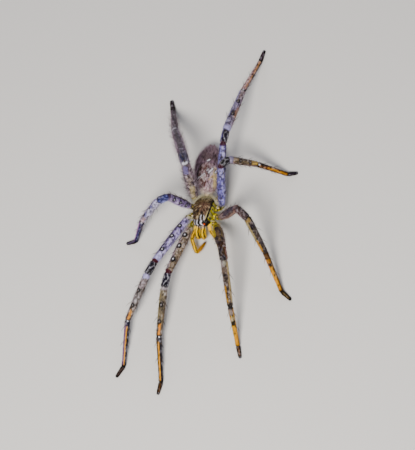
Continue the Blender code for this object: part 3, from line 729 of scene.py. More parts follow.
def add_marking(mesh, shades, domain):
    """Store the marking colours on a mesh."""
    marking = mesh.color_attributes.new(MARKING, "FLOAT_COLOR", domain)
    rows = np.ones((len(shades), 4), np.float32)
    rows[:, :3] = deepened(shades)
    marking.data.foreach_set("color", rows.ravel())


def scatter(surface, count, draw, weight=None):
    """Roots spread evenly over a surface: shares, places, and outward and lie directions."""
    rows, columns = 300, 48
    v, u = np.meshgrid((np.arange(rows) + 0.5) / rows, (np.arange(columns) + 0.5) / columns,
                       indexing="ij")
    u, v = u.ravel(), v.ravel()
    chance = np.linalg.norm(normals_of(surface, u, v)[2], axis=1)
    if weight is not None:
        chance = chance * weight(u, v)
    cells = draw.choice(len(u), count, p=chance / chance.sum())
    u = u[cells] + (draw.random(count) - 0.5) / columns
    v = v[cells] + (draw.random(count) - 0.5) / rows
    outward, lie, _, scales = normals_of(surface, u, v)
    return u, v, surface(u, v), outward, lie, scales


def normals_of(surface, u, v):
    """The outward and lie directions of a surface, its area vectors and its mm per u and v."""
    small = 1e-4
    by_u = (surface(u + small, v) - surface(u - small, v)) / (2 * small)
    by_v = (surface(u, np.minimum(v + small, 1)) - surface(u, np.maximum(v - small, 0))) / (2 * small)
    area = np.cross(by_u, by_v)
    outward = unit(area)
    lie = unit(by_v - outward * np.sum(by_v * outward, axis=1, keepdims=True))
    scales = [np.maximum(np.linalg.norm(rate, axis=1), 1.0) for rate in (by_u, by_v)]
    return outward, lie, area, scales


def strands(roots, outward, lie, length, width, rise, curl, rings=1, sides=3, flat=0.5):
    """Tapered hairs or spines: the points of each, the triangles of one and its points' shares."""
    side = np.cross(outward, lie)
    centre = roots.copy()
    rows, shares = [], []
    for number in range(rings):
        share = number / rings
        angle = (rise + curl * share)[:, None]
        way = lie * np.cos(angle) + outward * np.sin(angle)
        over = outward * np.cos(angle) - lie * np.sin(angle)
        half = (width * (1 - share) ** 0.6 / 2)[:, None]
        for corner in range(sides):
            turn = math.tau * corner / sides
            rows.append(centre + side * half * math.cos(turn) + over * half * flat * math.sin(turn))
            shares.append(share)
        centre = centre + way * (length / rings)[:, None]
    rows.append(centre)
    shares.append(1.0)
    faces = [(0, corner + 1, corner) for corner in range(1, sides - 1)]
    for number in range(rings):
        low, high = number * sides, (number + 1) * sides
        for corner in range(sides):
            after = (corner + 1) % sides
            if number == rings - 1:
                faces.append((low + corner, low + after, high))
            else:
                faces.append((low + corner, low + after, high + after))
                faces.append((low + corner, high + after, high + corner))
    return np.stack(rows, axis=1), np.array(faces), np.array(shares)


def grow(surface, paint, layout, draw, count, length, width, rise=20, curl=-12, rings=1,
         weight=None, tone=0.22, sway=0.35, tint=None, tinted=0.0, sink=0.04, spread=0.25):
    """One kind of hair all over a surface, as points, triangles, colours and map places.

    A hair takes the marking's colour at its root and, at its tip, that of the place below it.
    """
    u, v, roots, outward, lie, scales = scatter(surface, count, draw, weight)
    turn = draw.normal(0, sway, count)
    lie = unit(lie * np.cos(turn)[:, None] + np.cross(outward, lie) * np.sin(turn)[:, None])
    lengths = length * draw.uniform(1 - spread, 1 + spread, count)
    rises = np.radians(rise * draw.uniform(0.6, 1.4, count))
    reach = lengths * np.cos(rises)
    tip_u = np.clip(u - reach * np.sin(turn) / scales[0], 0, 1)
    tip_v = np.clip(v + reach * np.cos(turn) / scales[1], 0, 1)
    points, faces, shares = strands(roots - outward * sink, outward, lie, lengths,
                                    width * draw.uniform(0.8, 1.2, count), rises,
                                    np.full(count, math.radians(curl)), rings)
    ends = np.stack([paint(u, v), paint(tip_u, tip_v)], axis=1)
    ends = ends * draw.uniform(1 - tone, 1 + tone, (count, 1, 1))
    if tint is not None:
        ends = mix(ends, colour(tint), np.full((count, 2), tinted))
    shades = mix(ends[:, :1], ends[:, 1:], shares[None, :]) * (0.86 + 0.24 * shares)[None, :, None]
    home = layout(u, v, v)[:, None, :]
    shift = np.stack([PATCH * (np.arange(len(shares)) % 3) / 3, PATCH * shares], axis=-1)
    return points, faces, np.clip(shades, 0, 1), home + shift[None]


def hair_mesh(name, batches, material):
    """Join batches of hairs into one mesh."""
    points, faces, shades, places = [], [], [], []
    done = 0
    for strand_points, template, strand_shades, strand_places in batches:
        count, size, _ = strand_points.shape
        offset = done + np.arange(count)[:, None, None] * size
        faces.append((template[None] + offset).reshape(-1, 3))
        points.append(strand_points.reshape(-1, 3))
        shades.append(strand_shades.reshape(-1, 3))
        places.append(strand_places.reshape(-1, 2))
        done += count * size
    points, faces = np.concatenate(points), np.concatenate(faces)
    places = np.concatenate(places)
    mesh = bpy.data.meshes.new(name)
    mesh.vertices.add(len(points))
    mesh.vertices.foreach_set("co", in_metres(points).astype(np.float32).ravel())
    mesh.loops.add(faces.size)
    mesh.loops.foreach_set("vertex_index", faces.astype(np.int32).ravel())
    mesh.polygons.add(len(faces))
    mesh.polygons.foreach_set("loop_start", np.arange(0, faces.size, 3, dtype=np.int32))
    mesh.update(calc_edges=True)
    mesh.uv_layers.new(name=BAKE_MAP)
    mesh.uv_layers[BAKE_MAP].uv.foreach_set("vector", places[faces.ravel()].astype(np.float32).ravel())
    add_marking(mesh, np.concatenate(shades), "POINT")
    return make_object(name, mesh, material)


def body_section(turn, half_width, low, rim, top, keel):
    """A cross-section of the body: a rounded roof over the rim and a narrower, flatter belly."""
    along, rise = np.sin(turn), np.cos(turn)
    above = rise >= 0
    lifted, dropped = np.clip(rise, 0, 1), np.clip(-rise, 0, 1)
    narrow = keel + (1 - keel) * (1 - dropped)
    x = half_width * np.where(above, np.sign(along) * np.abs(along) ** 0.85, narrow * along)
    z = np.where(above, rim + (top - rim) * lifted ** 0.9, rim - (rim - low) * dropped ** 0.8)
    return x, z


def body_shares(v, front_edge, rear_edge):
    """How far along and how wide a body's skin is at v, with both ends closed by round caps."""
    start = np.clip(1 - v / CAP, 0, 1)
    end = np.clip(1 - (1 - v) / CAP, 0, 1)
    scale = np.cos(start * math.pi / 2) * np.cos(end * math.pi / 2)
    middle = np.clip((v - CAP) / (1 - 2 * CAP), 0, 1)
    share = front_edge + (1 - front_edge - rear_edge) * middle
    share = share - front_edge * np.sin(start * math.pi / 2) + rear_edge * np.sin(end * math.pi / 2)
    return share, scale


CARAPACE_SHARES = (
    # share of the length, of the half width, of the belly's depth and of the roof's height
    (0.00, 0.52, 0.20, 0.60),
    (0.04, 0.59, 0.45, 0.76),
    (0.14, 0.70, 0.78, 0.90),
    (0.28, 0.81, 0.94, 0.97),
    (0.45, 0.94, 1.00, 1.00),
    (0.62, 1.00, 1.00, 0.95),
    (0.77, 0.92, 0.92, 0.80),
    (0.88, 0.74, 0.78, 0.60),
    (0.95, 0.50, 0.58, 0.38),
    (1.00, 0.28, 0.40, 0.22),
)
ABDOMEN_SHARES = (
    (-0.04, 0.15, 0.38, 0.00),
    (0.000, 0.17, 0.42, 0.02),
    (0.028, 0.18, 0.44, 0.05),
    (0.050, 0.36, 0.62, 0.28),
    (0.090, 0.50, 0.74, 0.52),
    (0.190, 0.70, 0.89, 0.76),
    (0.340, 0.93, 0.98, 0.97),
    (0.510, 1.00, 1.00, 1.00),
    (0.690, 0.93, 0.93, 0.86),
    (0.830, 0.73, 0.76, 0.60),
    (0.930, 0.47, 0.54, 0.32),
    (0.985, 0.24, 0.32, 0.08),
    (1.000, 0.12, 0.24, -0.02),
)


def curves(rows, blur):
    """One smooth curve for each column of a table of shares."""
    return [eased([(row[0], row[column]) for row in rows], blur) for column in (1, 2, 3)]


carapace_curves = curves(CARAPACE_SHARES, 0.05)
abdomen_curves = curves(ABDOMEN_SHARES, 0.045)
hang = eased(((-0.04, 0.0), (0.0, 0.0), (0.34, 1.0), (1.0, 1.0)), 0.05)


def head_lean(y):
    """How far the middle of the head lies to the spider's right at a place along it."""
    return HEAD_LEAN * np.minimum(0, y - WAIST_PLACE)


def carapace_surface(u, v):
    """The carapace above its rim, and the coxae's side and the sternum below it."""
    turn = turn_at(u)
    share, scale = body_shares(v, 0.045, 0.03)
    wide, deep, high = [curve(share) for curve in carapace_curves]
    roof = CROWN_HEIGHT - RIM_HEIGHT - COAT_DEPTH
    belly = RIM_HEIGHT - STERNUM_HEIGHT - COAT_DEPTH
    y = CARAPACE_FRONT + COAT_DEPTH + (CARAPACE_LENGTH - 2 * COAT_DEPTH) * share
    half = CARAPACE_HALF * wide - COAT_DEPTH
    x, z = body_section(turn, half, RIM_HEIGHT - belly * deep, RIM_HEIGHT, RIM_HEIGHT + roof * high, 0.72)
    middle = RIM_HEIGHT + (roof * high - belly * deep) / 2
    x, z = x * scale, middle + (z - middle) * scale
    over = step(0.15, 0.6, np.cos(turn)) * scale
    away = np.hypot(x, y - FOVEA)
    spoke = np.arctan2(x, FOVEA - y)
    furrow = step(0.55, 1.0, np.cos(spoke * 9)) * band(away, 1.2, 3.2, 0.8)
    pit = np.exp(-(x / 0.16) ** 2 - ((y - FOVEA) / 0.75) ** 2)
    groove = np.exp(-((np.abs(spoke) - 0.62) / 0.10) ** 2) * band(away, 0.8, 3.6, 0.8)
    z = z - over * (0.07 * furrow + 0.30 * pit + 0.12 * groove)
    under_rim = np.exp(-((np.abs(turn) - 1.72) / 0.10) ** 2)
    x = x * (1 - 0.06 * under_rim * scale)
    return np.stack([x + head_lean(y), y, z], axis=-1)


def abdomen_surface(u, v):
    """The abdomen, from its stalk inside the carapace to the root of the spinnerets."""
    turn = turn_at(u)
    share, scale = body_shares(v, 0.02, 0.015)
    share = share * 1.04 - 0.04
    wide, deep, high = [curve(share) for curve in abdomen_curves]
    back = ABDOMEN_BACK - ABDOMEN_MIDDLE - 1.5 * COAT_DEPTH
    belly = ABDOMEN_MIDDLE - ABDOMEN_BELLY - COAT_DEPTH
    y = ABDOMEN_FRONT + ABDOMEN_LENGTH * share - COAT_DEPTH * step(0.9, 1, share)
    half = np.maximum(ABDOMEN_HALF * wide - COAT_DEPTH, 0.2)
    x, z = body_section(turn, half, ABDOMEN_MIDDLE - belly * deep, ABDOMEN_MIDDLE - 0.3,
                        ABDOMEN_MIDDLE + back * high, 0.86)
    middle = ABDOMEN_MIDDLE + (back * high - belly * deep) / 2
    x, z = x * scale, middle + (z - middle) * scale
    dents = 0.0
    for dent_x, dent_y in ((0.75, 10.2), (-0.75, 10.2), (0.9, 13.2), (-0.9, 13.2), (0.7, 15.8), (-0.7, 15.8)):
        dents = dents + np.exp(-((x - dent_x) ** 2 + (y - dent_y) ** 2) / 0.12)
    z = z - 0.16 * dents * step(0, 0.6, np.cos(turn))
    return np.stack([x + ABDOMEN_ASIDE * hang(share), y, z], axis=-1)


# Lines of hair on the abdomen's back, the white ones dark-edged: from (x, y) to (x, y), and width
BACK_LINES = (
    (-3.3, 9.7, -0.7, 11.3, 0.14, "white"), (0.6, 11.7, 1.7, 13.2, 0.30, "white"),
    (-0.1, 12.3, 0.4, 13.0, 0.16, "white"), (-0.4, 15.9, 0.3, 16.4, 0.24, "white"),
    (2.6, 12.0, 2.9, 12.9, 0.26, "white"), (-0.1, 10.2, 0.1, 11.6, 0.20, "rust"),
    (-1.1, 12.6, -0.2, 14.0, 0.20, "rust"), (-0.7, 7.4, -0.2, 9.0, 0.26, "rust"),
    (-1.4, 8.1, -1.0, 8.7, 0.22, "rust"), (0.8, 9.4, 1.9, 10.9, 0.12, "cream"),
    (0.9, 7.6, 1.9, 9.4, 0.12, "umber"), (0.1, 10.9, 0.9, 11.4, 0.13, "umber"),
)


def paint_carapace(u, v):
    """Brown with fine fanned streaks, a dark line inside its left side, and a striped face."""
    places = carapace_surface(u, v)
    y, z = places[:, 1], places[:, 2]
    x = places[:, 0] - head_lean(y)
    turn = np.abs(turn_at(u))
    share, scale = body_shares(v, 0.045, 0.03)
    above = step(1.75, 1.50, turn)
    fine = cloud(places, 0.35, 7)
    lumps = cloud(places, 0.9, 6)
    shade = mix(colour("5C4C3A"), colour("7E6A5C"), lumps)
    shade = mix(shade, colour("8E7468"), step(3.0, 0.8, np.hypot((x - 0.6) * 0.9, y - 0.2)))
    away = np.hypot(x, y - FOVEA)
    spoke = np.arctan2(x, FOVEA - y)
    wobble = spoke * 9 + 2.2 * (lumps - 0.5)
    shade = mix(shade, colour("17130A"), 0.55 * step(0.30, 0.85, np.cos(wobble)) * band(away, 0.8, 4.6, 0.6))
    shade = mix(shade, colour("A89A78"), 0.30 * step(0.62, 0.95, -np.cos(wobble)) * band(away, 1.2, 4.4, 0.6))
    comb = cloud(np.stack([spoke * 2.6, away * 0.36, 0 * away], axis=-1), 0.32, 8)
    shade = mix(shade, colour("D2C4AC"), 0.70 * step(0.58, 0.70, comb) * step(0.5, 1.2, away))
    shade = mix(shade, colour("120C08"), 0.90 * step(0.44, 0.30, comb) * step(0.5, 1.2, away))
    rings = np.cos(np.hypot(x * 0.8, y + 0.6) * math.tau / 0.75 + lumps * 3)
    shade = mix(shade, colour("2A2112"), 0.55 * step(0.4, 0.9, rings) * step(1.2, 2.2, y))
    shade = mix(shade, colour("9A8B6A"), 0.40 * step(0.4, 0.9, -rings) * step(1.2, 2.2, y))
    shade = mix(shade, colour("0C0806"), np.exp(-(x / 0.14) ** 2 - ((y - FOVEA) / 0.7) ** 2))
    shade = mix(shade, colour("6C6410"), 0.85 * step(3.6, 4.2, y) * above)
    # the line that runs forward inside the left side, cream beside it, and greenish beyond
    line = np.interp(y, (-5.5, -4.5, -3.0, 0.5, 3.4, 4.4), (1.35, 1.50, 1.85, 2.45, 2.50, 2.0))
    beyond = x - line
    waves = np.abs(np.sin(y * 2.1 + x * 1.7)) * lumps * 1.5
    outer = mix(colour("B0A81C"), colour("1C1A06"), step(0.40, 0.55, waves))
    outer = mix(outer, colour("EAE4B0"), step(0.58, 0.72, fine) * 0.7)
    shade = mix(shade, outer, 0.9 * step(0.10, 0.30, beyond) * above * step(-5.2, -4.4, y))
    shade = mix(shade, colour("E6D8B0"), 0.8 * band(beyond, -0.42, -0.24, 0.06) * above * step(0.2, -1.6, y))
    shade = mix(shade, colour("black"), 0.98 * band(beyond, -0.16, 0.30, 0.06) * above)
    rim = CARAPACE_HALF * carapace_curves[0](share)
    edge = np.abs(x) / np.maximum(rim * scale, 0.3)
    shade = mix(shade, colour("151007"), 0.85 * step(0.90, 0.96, edge) * above * step(0, -0.4, x))
    # white hairs that run back from the eyes
    combed = np.cos((x - 0.25) * 6.0 + 0.9 * np.sin(y * 1.6) + 3.0 * fine)
    patch = band(x - 0.35, -1.1, 0.75, 0.30) * band(y, -4.7, -2.8, 0.7)
    shade = mix(shade, colour("white"), 0.85 * step(0.45, 0.90, combed) * patch * above)
    shade = mix(shade, colour("1A1210"), 0.9 * step(0.1, -0.5, combed) * patch * above)
    below = step(1.62, 1.8, turn)
    flank = mix(colour("yellow green"), colour("D9CF8C"), cloud(places, 0.8, 2))
    flank = mix(flank, colour("dark olive"), step(0.62, 0.74, lumps))
    shade = mix(shade, mix(flank, colour("C9BC9A"), step(3.6, 3.1, z)), below)
    shade = mix(shade, shade * 0.5, 0.6 * step(0.55, 0.8, fine))
    # the face: black with slanting white stripes between the eyes, and one orange spot
    face = step(-4.20, -4.60, y - 0.20 * np.abs(x)) * step(4.4, 4.8, z)
    stripe = np.cos((x + 0.75 * (z - 6.5) - 0.5 * (y + 5.0)) * math.tau / 1.55 + 1.9)
    mask = mix(colour("black"), colour("white"), step(0.35, 0.60, stripe) * step(1.55, 1.25, x))
    shade = mix(shade, mask, 0.98 * face)
    spot = np.hypot(x - 1.25, (z - 7.0) * 0.8)
    return mix(shade, colour("F08000"), step(0.32, 0.22, spot) * step(-4.4, -4.8, y))


def paint_abdomen(u, v):
    """Pinkish brown and mottled, with a dark-edged panel on its back, pale in front and beside."""
    places = abdomen_surface(u, v)
    x, y = places[:, 0], places[:, 1]
    turn = np.abs(turn_at(u))
    top = step(1.75, 1.35, turn)
    lumps = 0.5 * cloud(places, 1.0, 11) + 0.5 * cloud(places, 0.42, 12)
    streaks = cloud(places * np.array([1.0, 0.28, 0.6]), 0.30, 13)
    fur = mix(colour("66545A"), colour("B09CAA"), step(0.30, 0.62, streaks * 0.6 + lumps * 0.4))
    shade = mix(fur, colour("3A2E32"), 0.7 * step(0.60, 0.75, streaks))
    # the panel: brown at its left, pinker to the right, cream down the flank
    reach = np.where(y > 10.8, 4.5, 5.4)
    inner = np.clip(1 - (np.abs(y - 10.8) / reach) ** 2.6, 0, 1) ** (1 / 2.6)
    half = 3.25 * inner + 0.02
    off = np.abs(x - 0.05) - half
    panel = mix(colour("74605C"), colour("AC969A"), step(0.36, 0.66, lumps))
    pinker = mix(colour("A69298"), colour("D6C6D0"), lumps)
    panel = mix(panel, pinker, step(-1.4, 1.2, x - 0.25 * (y - 10)))
    panel = mix(panel, colour("3C2C2A"), 0.8 * step(0.60, 0.68, cloud(places, 0.36, 15)))
    panel = mix(panel, colour("E4D8DC"), 0.55 * step(0.64, 0.74, cloud(places, 0.40, 16)))
    scribble = np.abs(cloud(places * np.array([1.2, 0.7, 1.0]), 0.95, 17) - 0.5)
    panel = mix(panel, colour("2A1814"), 0.85 * step(0.055, 0.02, scribble))
    scribble = np.abs(cloud(places * np.array([1.2, 0.7, 1.0]), 1.2, 18) - 0.5)
    panel = mix(panel, colour("F0E8E6"), 0.60 * step(0.045, 0.015, scribble))
    inside = step(0.12, -0.12, off) * top * step(0.05, 0.25, inner)
    shade = mix(shade, panel, inside)
    flank = step(1.7, 2.4, x + 0.25 * (lumps - 0.5)) * band(y, 5.8, 13.2, 0.8) * top
    shade = mix(shade, mix(colour("B39A88"), colour("F0E2B4"), step(0.32, 0.56, lumps)), 0.92 * flank)
    line = np.exp(-(off / 0.24) ** 2) * step(0.05, 0.2, inner) * step(5.6, 6.4, y) * top
    shade = mix(shade, colour("160A0C"), line * np.where(x < 0.9, 0.97, 0.35))
    fore = step(7.6, 6.4, y + 1.4 * (lumps - 0.5)) * top
    shade = mix(shade, mix(colour("A48A92"), colour("F0E8E4"), step(0.42, 0.66, lumps)), 0.85 * fore)
    rear = step(15.0, 16.6, y + 1.2 * (lumps - 0.5)) * step(-3.6, -2.2, x)
    shade = mix(shade, mix(colour("3A3230"), colour("857872"), step(0.35, 0.7, streaks)), 0.6 * rear * top)
    for x0, y0, x1, y1, width, name in BACK_LINES:
        way = np.array([x1 - x0, y1 - y0])
        length = np.hypot(*way)
        along = np.clip(((x - x0) * way[0] + (y - y0) * way[1]) / length ** 2, 0, 1)
        away = np.hypot(x - x0 - along * way[0], y - y0 - along * way[1])
        if name == "white":
            shade = mix(shade, colour("1C0E10"), 0.8 * band(away, width, width + 0.14, 0.06) * top)
        shade = mix(shade, colour(name), 0.95 * step(width, width - 0.08, away) * top)
    under = step(1.9, 2.5, turn)
    shade = mix(shade, mix(colour("7E6C5C"), colour("B3A184"), lumps), 0.8 * under)
    return mix(shade, colour("B8AD98"), step(5.9, 5.2, y))


def palp_colours(limb, tip):
    """Bright yellow with a dark purple line down each side, browner at the tip."""

    def paint(u, v):
        turn = turn_at(u)
        places = limb.surface(u, v)
        along = v * limb.length
        shade = mix(colour("yellow"), colour("E8C400"), cloud(places, 0.8, 21))
        shade = mix(shade, colour(tip), step(limb.joints[4] - 0.4, limb.joints[4] + 0.6, along))
        for middle in (-0.95, 0.75):
            line = np.exp(-((turn - middle - 0.25 * np.sin(along * 1.3)) / 0.40) ** 2)
            line = line * band(along, limb.joints[1], limb.joints[4], 0.3)
            shade = mix(shade, colour("2A0F30"), 0.95 * line)
        for joint in (1, 2, 4):
            away = np.abs(along - limb.joints[joint])
            shade = mix(shade, colour("2A1810"), 0.85 * step(0.22, 0.10, away))
        shade = mix(shade, colour("C9B45A"), 0.6 * step(2.2, 2.9, np.abs(turn)))
        return mix(shade, colour("umber"), 0.85 * step(0.94, 1.0, v))

    return paint


def jaw_colours(limb):
    """Bright yellow with purple lines, paler and pinker at the top, dark at the fang."""

    def paint(u, v):
        turn = turn_at(u)
        places = limb.surface(u, v)
        shade = mix(colour("DCD0D8"), colour("yellow"), step(0.12, 0.30, v + 0.10 * cloud(places, 0.5, 33)))
        shade = mix(shade, colour("E8BE10"), 0.5 * cloud(places, 0.6, 31))
        line = step(0.10, 0.45, np.cos(turn * 4.0 + 2.6 * v + 0.5 * np.sin(v * 12) + 1.2))
        line = line * band(v, 0.03, 0.74, 0.05) * step(2.6, 1.9, np.abs(turn))
        shade = mix(shade, colour("1A0824"), 0.98 * line)
        shade = mix(shade, colour("8C6A12"), 0.6 * step(1.9, 2.6, np.abs(turn)))
        return mix(shade, colour("3A1712"), step(0.86, 0.95, v))

    return paint


def material_nodes(name):
    """A new material, its node tree and its shader."""
    material = bpy.data.materials.new(name)
    material.use_nodes = True
    tree = material.node_tree
    shader = tree.nodes["Principled BSDF"]
    return material, tree, shader


def add_node(tree, kind, settings=None, inputs=None):
    """Add one node; an input is a value, or an output socket that is linked to it."""
    node = tree.nodes.new(kind)
    for name, value in (settings or {}).items():
        setattr(node, name, value)
    for name, value in (inputs or {}).items():
        if isinstance(value, bpy.types.NodeSocket):
            tree.links.new(value, node.inputs[name])
        else:
            node.inputs[name].default_value = value
    return node


def furred_chitin(name, grain, depth, roughness, speckle):
    """Chitin under short flat fur: dull, finely speckled, with a lie that breaks the highlights."""
    material, tree, shader = material_nodes(name)
    place = add_node(tree, "ShaderNodeTexCoord").outputs["Object"]
    marking = add_node(tree, "ShaderNodeAttribute", {"attribute_name": MARKING}).outputs["Color"]
    fine = add_node(tree, "ShaderNodeTexNoise", None,
                    {"Vector": place, "Scale": 1 / (grain * MM), "Detail": 3.0, "Roughness": 0.65})
    shade = add_node(tree, "ShaderNodeMapRange", None,
                     {"Value": fine.outputs["Fac"], "From Min": 0.30, "From Max": 0.70,
                      "To Min": 1 - speckle, "To Max": 1 + speckle})
    tinted = add_node(tree, "ShaderNodeVectorMath", {"operation": "SCALE"},
                      {0: marking, "Scale": shade.outputs["Result"]})
    tree.links.new(tinted.outputs["Vector"], shader.inputs["Base Color"])
    bump = add_node(tree, "ShaderNodeBump", None,
                    {"Height": fine.outputs["Fac"], "Strength": 0.8, "Distance": depth * MM})
    tree.links.new(bump.outputs["Normal"], shader.inputs["Normal"])
    shader.inputs["Roughness"].default_value = roughness
    shader.inputs["Specular IOR Level"].default_value = 0.20
    return material


def marked_chitin(name, roughness, specular):
    """Bare chitin of hairs and spines, in the marking's colours: clear, with a soft shine."""
    material, tree, shader = material_nodes(name)
    marking = add_node(tree, "ShaderNodeAttribute", {"attribute_name": MARKING}).outputs["Color"]
    tree.links.new(marking, shader.inputs["Base Color"])
    shader.inputs["Roughness"].default_value = roughness
    shader.inputs["Specular IOR Level"].default_value = specular
    return material


def lens_cornea(name):
    """A spider's eye: black behind a clear, wet-looking lens."""
    material, tree, shader = material_nodes(name)
    place = add_node(tree, "ShaderNodeTexCoord").outputs["Object"]
    depth = add_node(tree, "ShaderNodeTexNoise", None,
                     {"Vector": place, "Scale": 1 / (0.25 * MM), "Detail": 1.0})
    ramp = add_node(tree, "ShaderNodeValToRGB", None, {"Fac": depth.outputs["Fac"]})
    ramp.color_ramp.elements[0].color = (*colour("08070A"), 1)
    ramp.color_ramp.elements[1].color = (*colour("1E1620"), 1)
    tree.links.new(ramp.outputs["Color"], shader.inputs["Base Color"])
    shader.inputs["Roughness"].default_value = 0.06
    shader.inputs["Coat Weight"].default_value = 1.0
    shader.inputs["Coat Roughness"].default_value = 0.03
    return material


def studio_floor(name):
    """A pale matt studio sheet."""
    material, tree, shader = material_nodes(name)
    shader.inputs["Base Color"].default_value = (*colour("D9D7D3"), 1)
    shader.inputs["Roughness"].default_value = 0.85
    return material


def make_floor():
    """The plain pale floor."""
    shape = bmesh.new()
    bmesh.ops.create_grid(shape, x_segments=1, y_segments=1, size=2.5)
    mesh = bpy.data.meshes.new("floor")
    shape.to_mesh(mesh)
    shape.free()
    mesh.materials.append(studio_floor("matt studio sheet"))
    floor = bpy.data.objects.new("floor", mesh)
    bpy.context.scene.collection.objects.link(floor)


def make_camera():
    """The camera at the photograph's angle."""
    turn, lift, roll = (math.radians(angle) for angle in (AZIMUTH, ELEVATION, ROLL))
    back = Vector((math.sin(turn) * math.cos(lift), -math.cos(turn) * math.cos(lift), math.sin(lift)))
    right = Vector((math.cos(turn), math.sin(turn), 0))
    up = back.cross(right)
    wide = right * math.cos(roll) + up * math.sin(roll)
    high = up * math.cos(roll) - right * math.sin(roll)
    spot = Vector(BODY_AT) + wide * AIM[0] + high * AIM[1] + back * DISTANCE
    camera = bpy.data.objects.new("camera", bpy.data.cameras.new("camera"))
    camera.data.lens = LENS
    camera.data.clip_start = 0.01
    camera.data.clip_end = 20
    turned = Matrix((wide, high, back)).transposed().to_4x4()
    camera.matrix_world = Matrix.Translation(spot * MM) @ turned
    bpy.context.scene.collection.objects.link(camera)
    bpy.context.scene.camera = camera


def make_light(name, bearing, rise, distance, size, power, tint):
    """A soft square light that looks at the spider."""
    data = bpy.data.lights.new(name, "AREA")
    data.size = size
    data.energy = power
    data.color = colour(tint)
    lamp = bpy.data.objects.new(name, data)
    turn, lift = math.radians(bearing), math.radians(rise)
    back = Vector((math.sin(turn) * math.cos(lift), -math.cos(turn) * math.cos(lift), math.sin(lift)))
    lamp.location = back * distance
    lamp.rotation_mode = "QUATERNION"
    lamp.rotation_quaternion = (-back).to_track_quat("-Z", "Y")
    bpy.context.scene.collection.objects.link(lamp)


def make_world():
    """Even pale light from all round."""
    world = bpy.data.worlds.new("studio")
    world.use_nodes = True
    sky = world.node_tree.nodes["Background"]
    sky.inputs["Color"].default_value = (*colour("E6E8EE"), 1)
    sky.inputs["Strength"].default_value = 0.30
    bpy.context.scene.world = world


def make_leg(side, pair, seed):
    """One leg: its skin from coxa to claw tuft, its coat, and its spines and claws."""
    draw = np.random.default_rng(seed)
    limb = leg_limb(side, pair)
    spots = leg_spines((side, pair), limb, draw)
    paint = leg_colours((side, pair), limb, spots)
    layout = leg_layout(limb)
    name = f"leg_{side}_{pair}"
    fluff = SHAGGY_FLUFF if (side, pair) == SHAGGY else 1.0
    skin = wrap(name, limb.surface, LEG_AROUND, int(limb.length / LEG_STEP), paint, layout, skin_finish)
    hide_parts(*[f"{name}_{piece}" for piece in PIECES[1:]])

    def outside(u, v):
        along = v * limb.length
        return step(limb.joints[1] * 0.5, limb.joints[1] * 0.8, along)

    def foot(u, v):
        along = v * limb.length
        return step(limb.joints[TARSUS] - 3.0, limb.joints[TARSUS] + 1.0, along)

    def upper(u, v):
        turn = np.abs(turn_at(u))
        along = v * limb.length
        near = step(limb.joints[TARSUS], limb.joints[METATARSUS], along)
        return outside(u, v) * (0.3 + step(2.4, 1.2, turn)) * near

    fur = partial(grow, limb.surface, paint, layout, draw)
    batches = [
        fur(count=20500, length=0.48, width=0.085, rise=15, weight=outside),
        fur(count=2400, length=0.45, width=0.075, rise=28, weight=foot, tint="umber", tinted=0.15),
        fur(count=int(1000 * fluff ** 3), length=1.25 * fluff, width=0.055, rise=50, curl=-22, rings=3,
            weight=upper, tone=0.3, tint="D8CBD0", tinted=0.3, sway=0.5, spread=0.4),
    ]
    coat = hair_mesh(f"{name}_coat", batches, hair_finish)
    make_spines(name, limb, spots)


def spikes(roots, outward, lie, lengths, width, rise, curl, paint):
    """Round spines or claws, as one batch; paint gives their colours from root to tip."""
    count = len(roots)
    points, faces, shares = strands(roots, outward, lie, lengths, np.full(count, width),
                                    np.full(count, math.radians(rise)),
                                    np.full(count, math.radians(curl)), rings=5, sides=6, flat=1.0)
    shades = np.tile(paint(shares)[None], (count, 1, 1))
    places = np.tile(np.stack([shares * 0.9, shares * 0.9], axis=-1)[None], (count, 1, 1))
    return points, faces, shades, places


def spine_paint(shares):
    """Pale brown at the root and nearly black from a third of the way up."""
    return mix(colour("8C7A5E"), colour(SPINE_TIP), step(0.0, 0.35, shares))


def claw_paint(shares):
    """Nearly black all along."""
    return np.tile(colour(SPINE_TIP), (len(shares), 1))


def make_spines(name, limb, spots):
    """A leg's spines, standing in their ring spots, and the two claws of its foot."""
    along = np.array([spot[1] for spot in spots])
    turn = np.array([spot[2] for spot in spots])
    length = np.array([spot[3] for spot in spots])
    roots = limb.at(along, turn, -0.12)
    outward = unit(roots - limb.look_up(limb.centre, along))
    lie = limb.look_up(limb.way, along)
    batches = [spikes(roots, outward, lie, length, SPINE_WIDTH, SPINE_RISE, SPINE_CURL, spine_paint)]
    toe = limb.look_up(limb.centre, np.full(2, limb.length - 0.12))
    way = limb.look_up(limb.way, np.full(2, limb.length))
    across = limb.look_up(limb.across, np.full(2, limb.length)) * np.array([[1.0], [-1.0]])
    upward = np.array([[0.0, 0.0, 1.0]] * 2)
    batches.append(spikes(toe + across * 0.12, upward, unit(way + across * 0.45),
                          np.full(2, CLAW_LENGTH), CLAW_WIDTH, CLAW_RISE, CLAW_CURL, claw_paint))
    spines = hair_mesh(f"{name}_spines", batches, spine_finish)


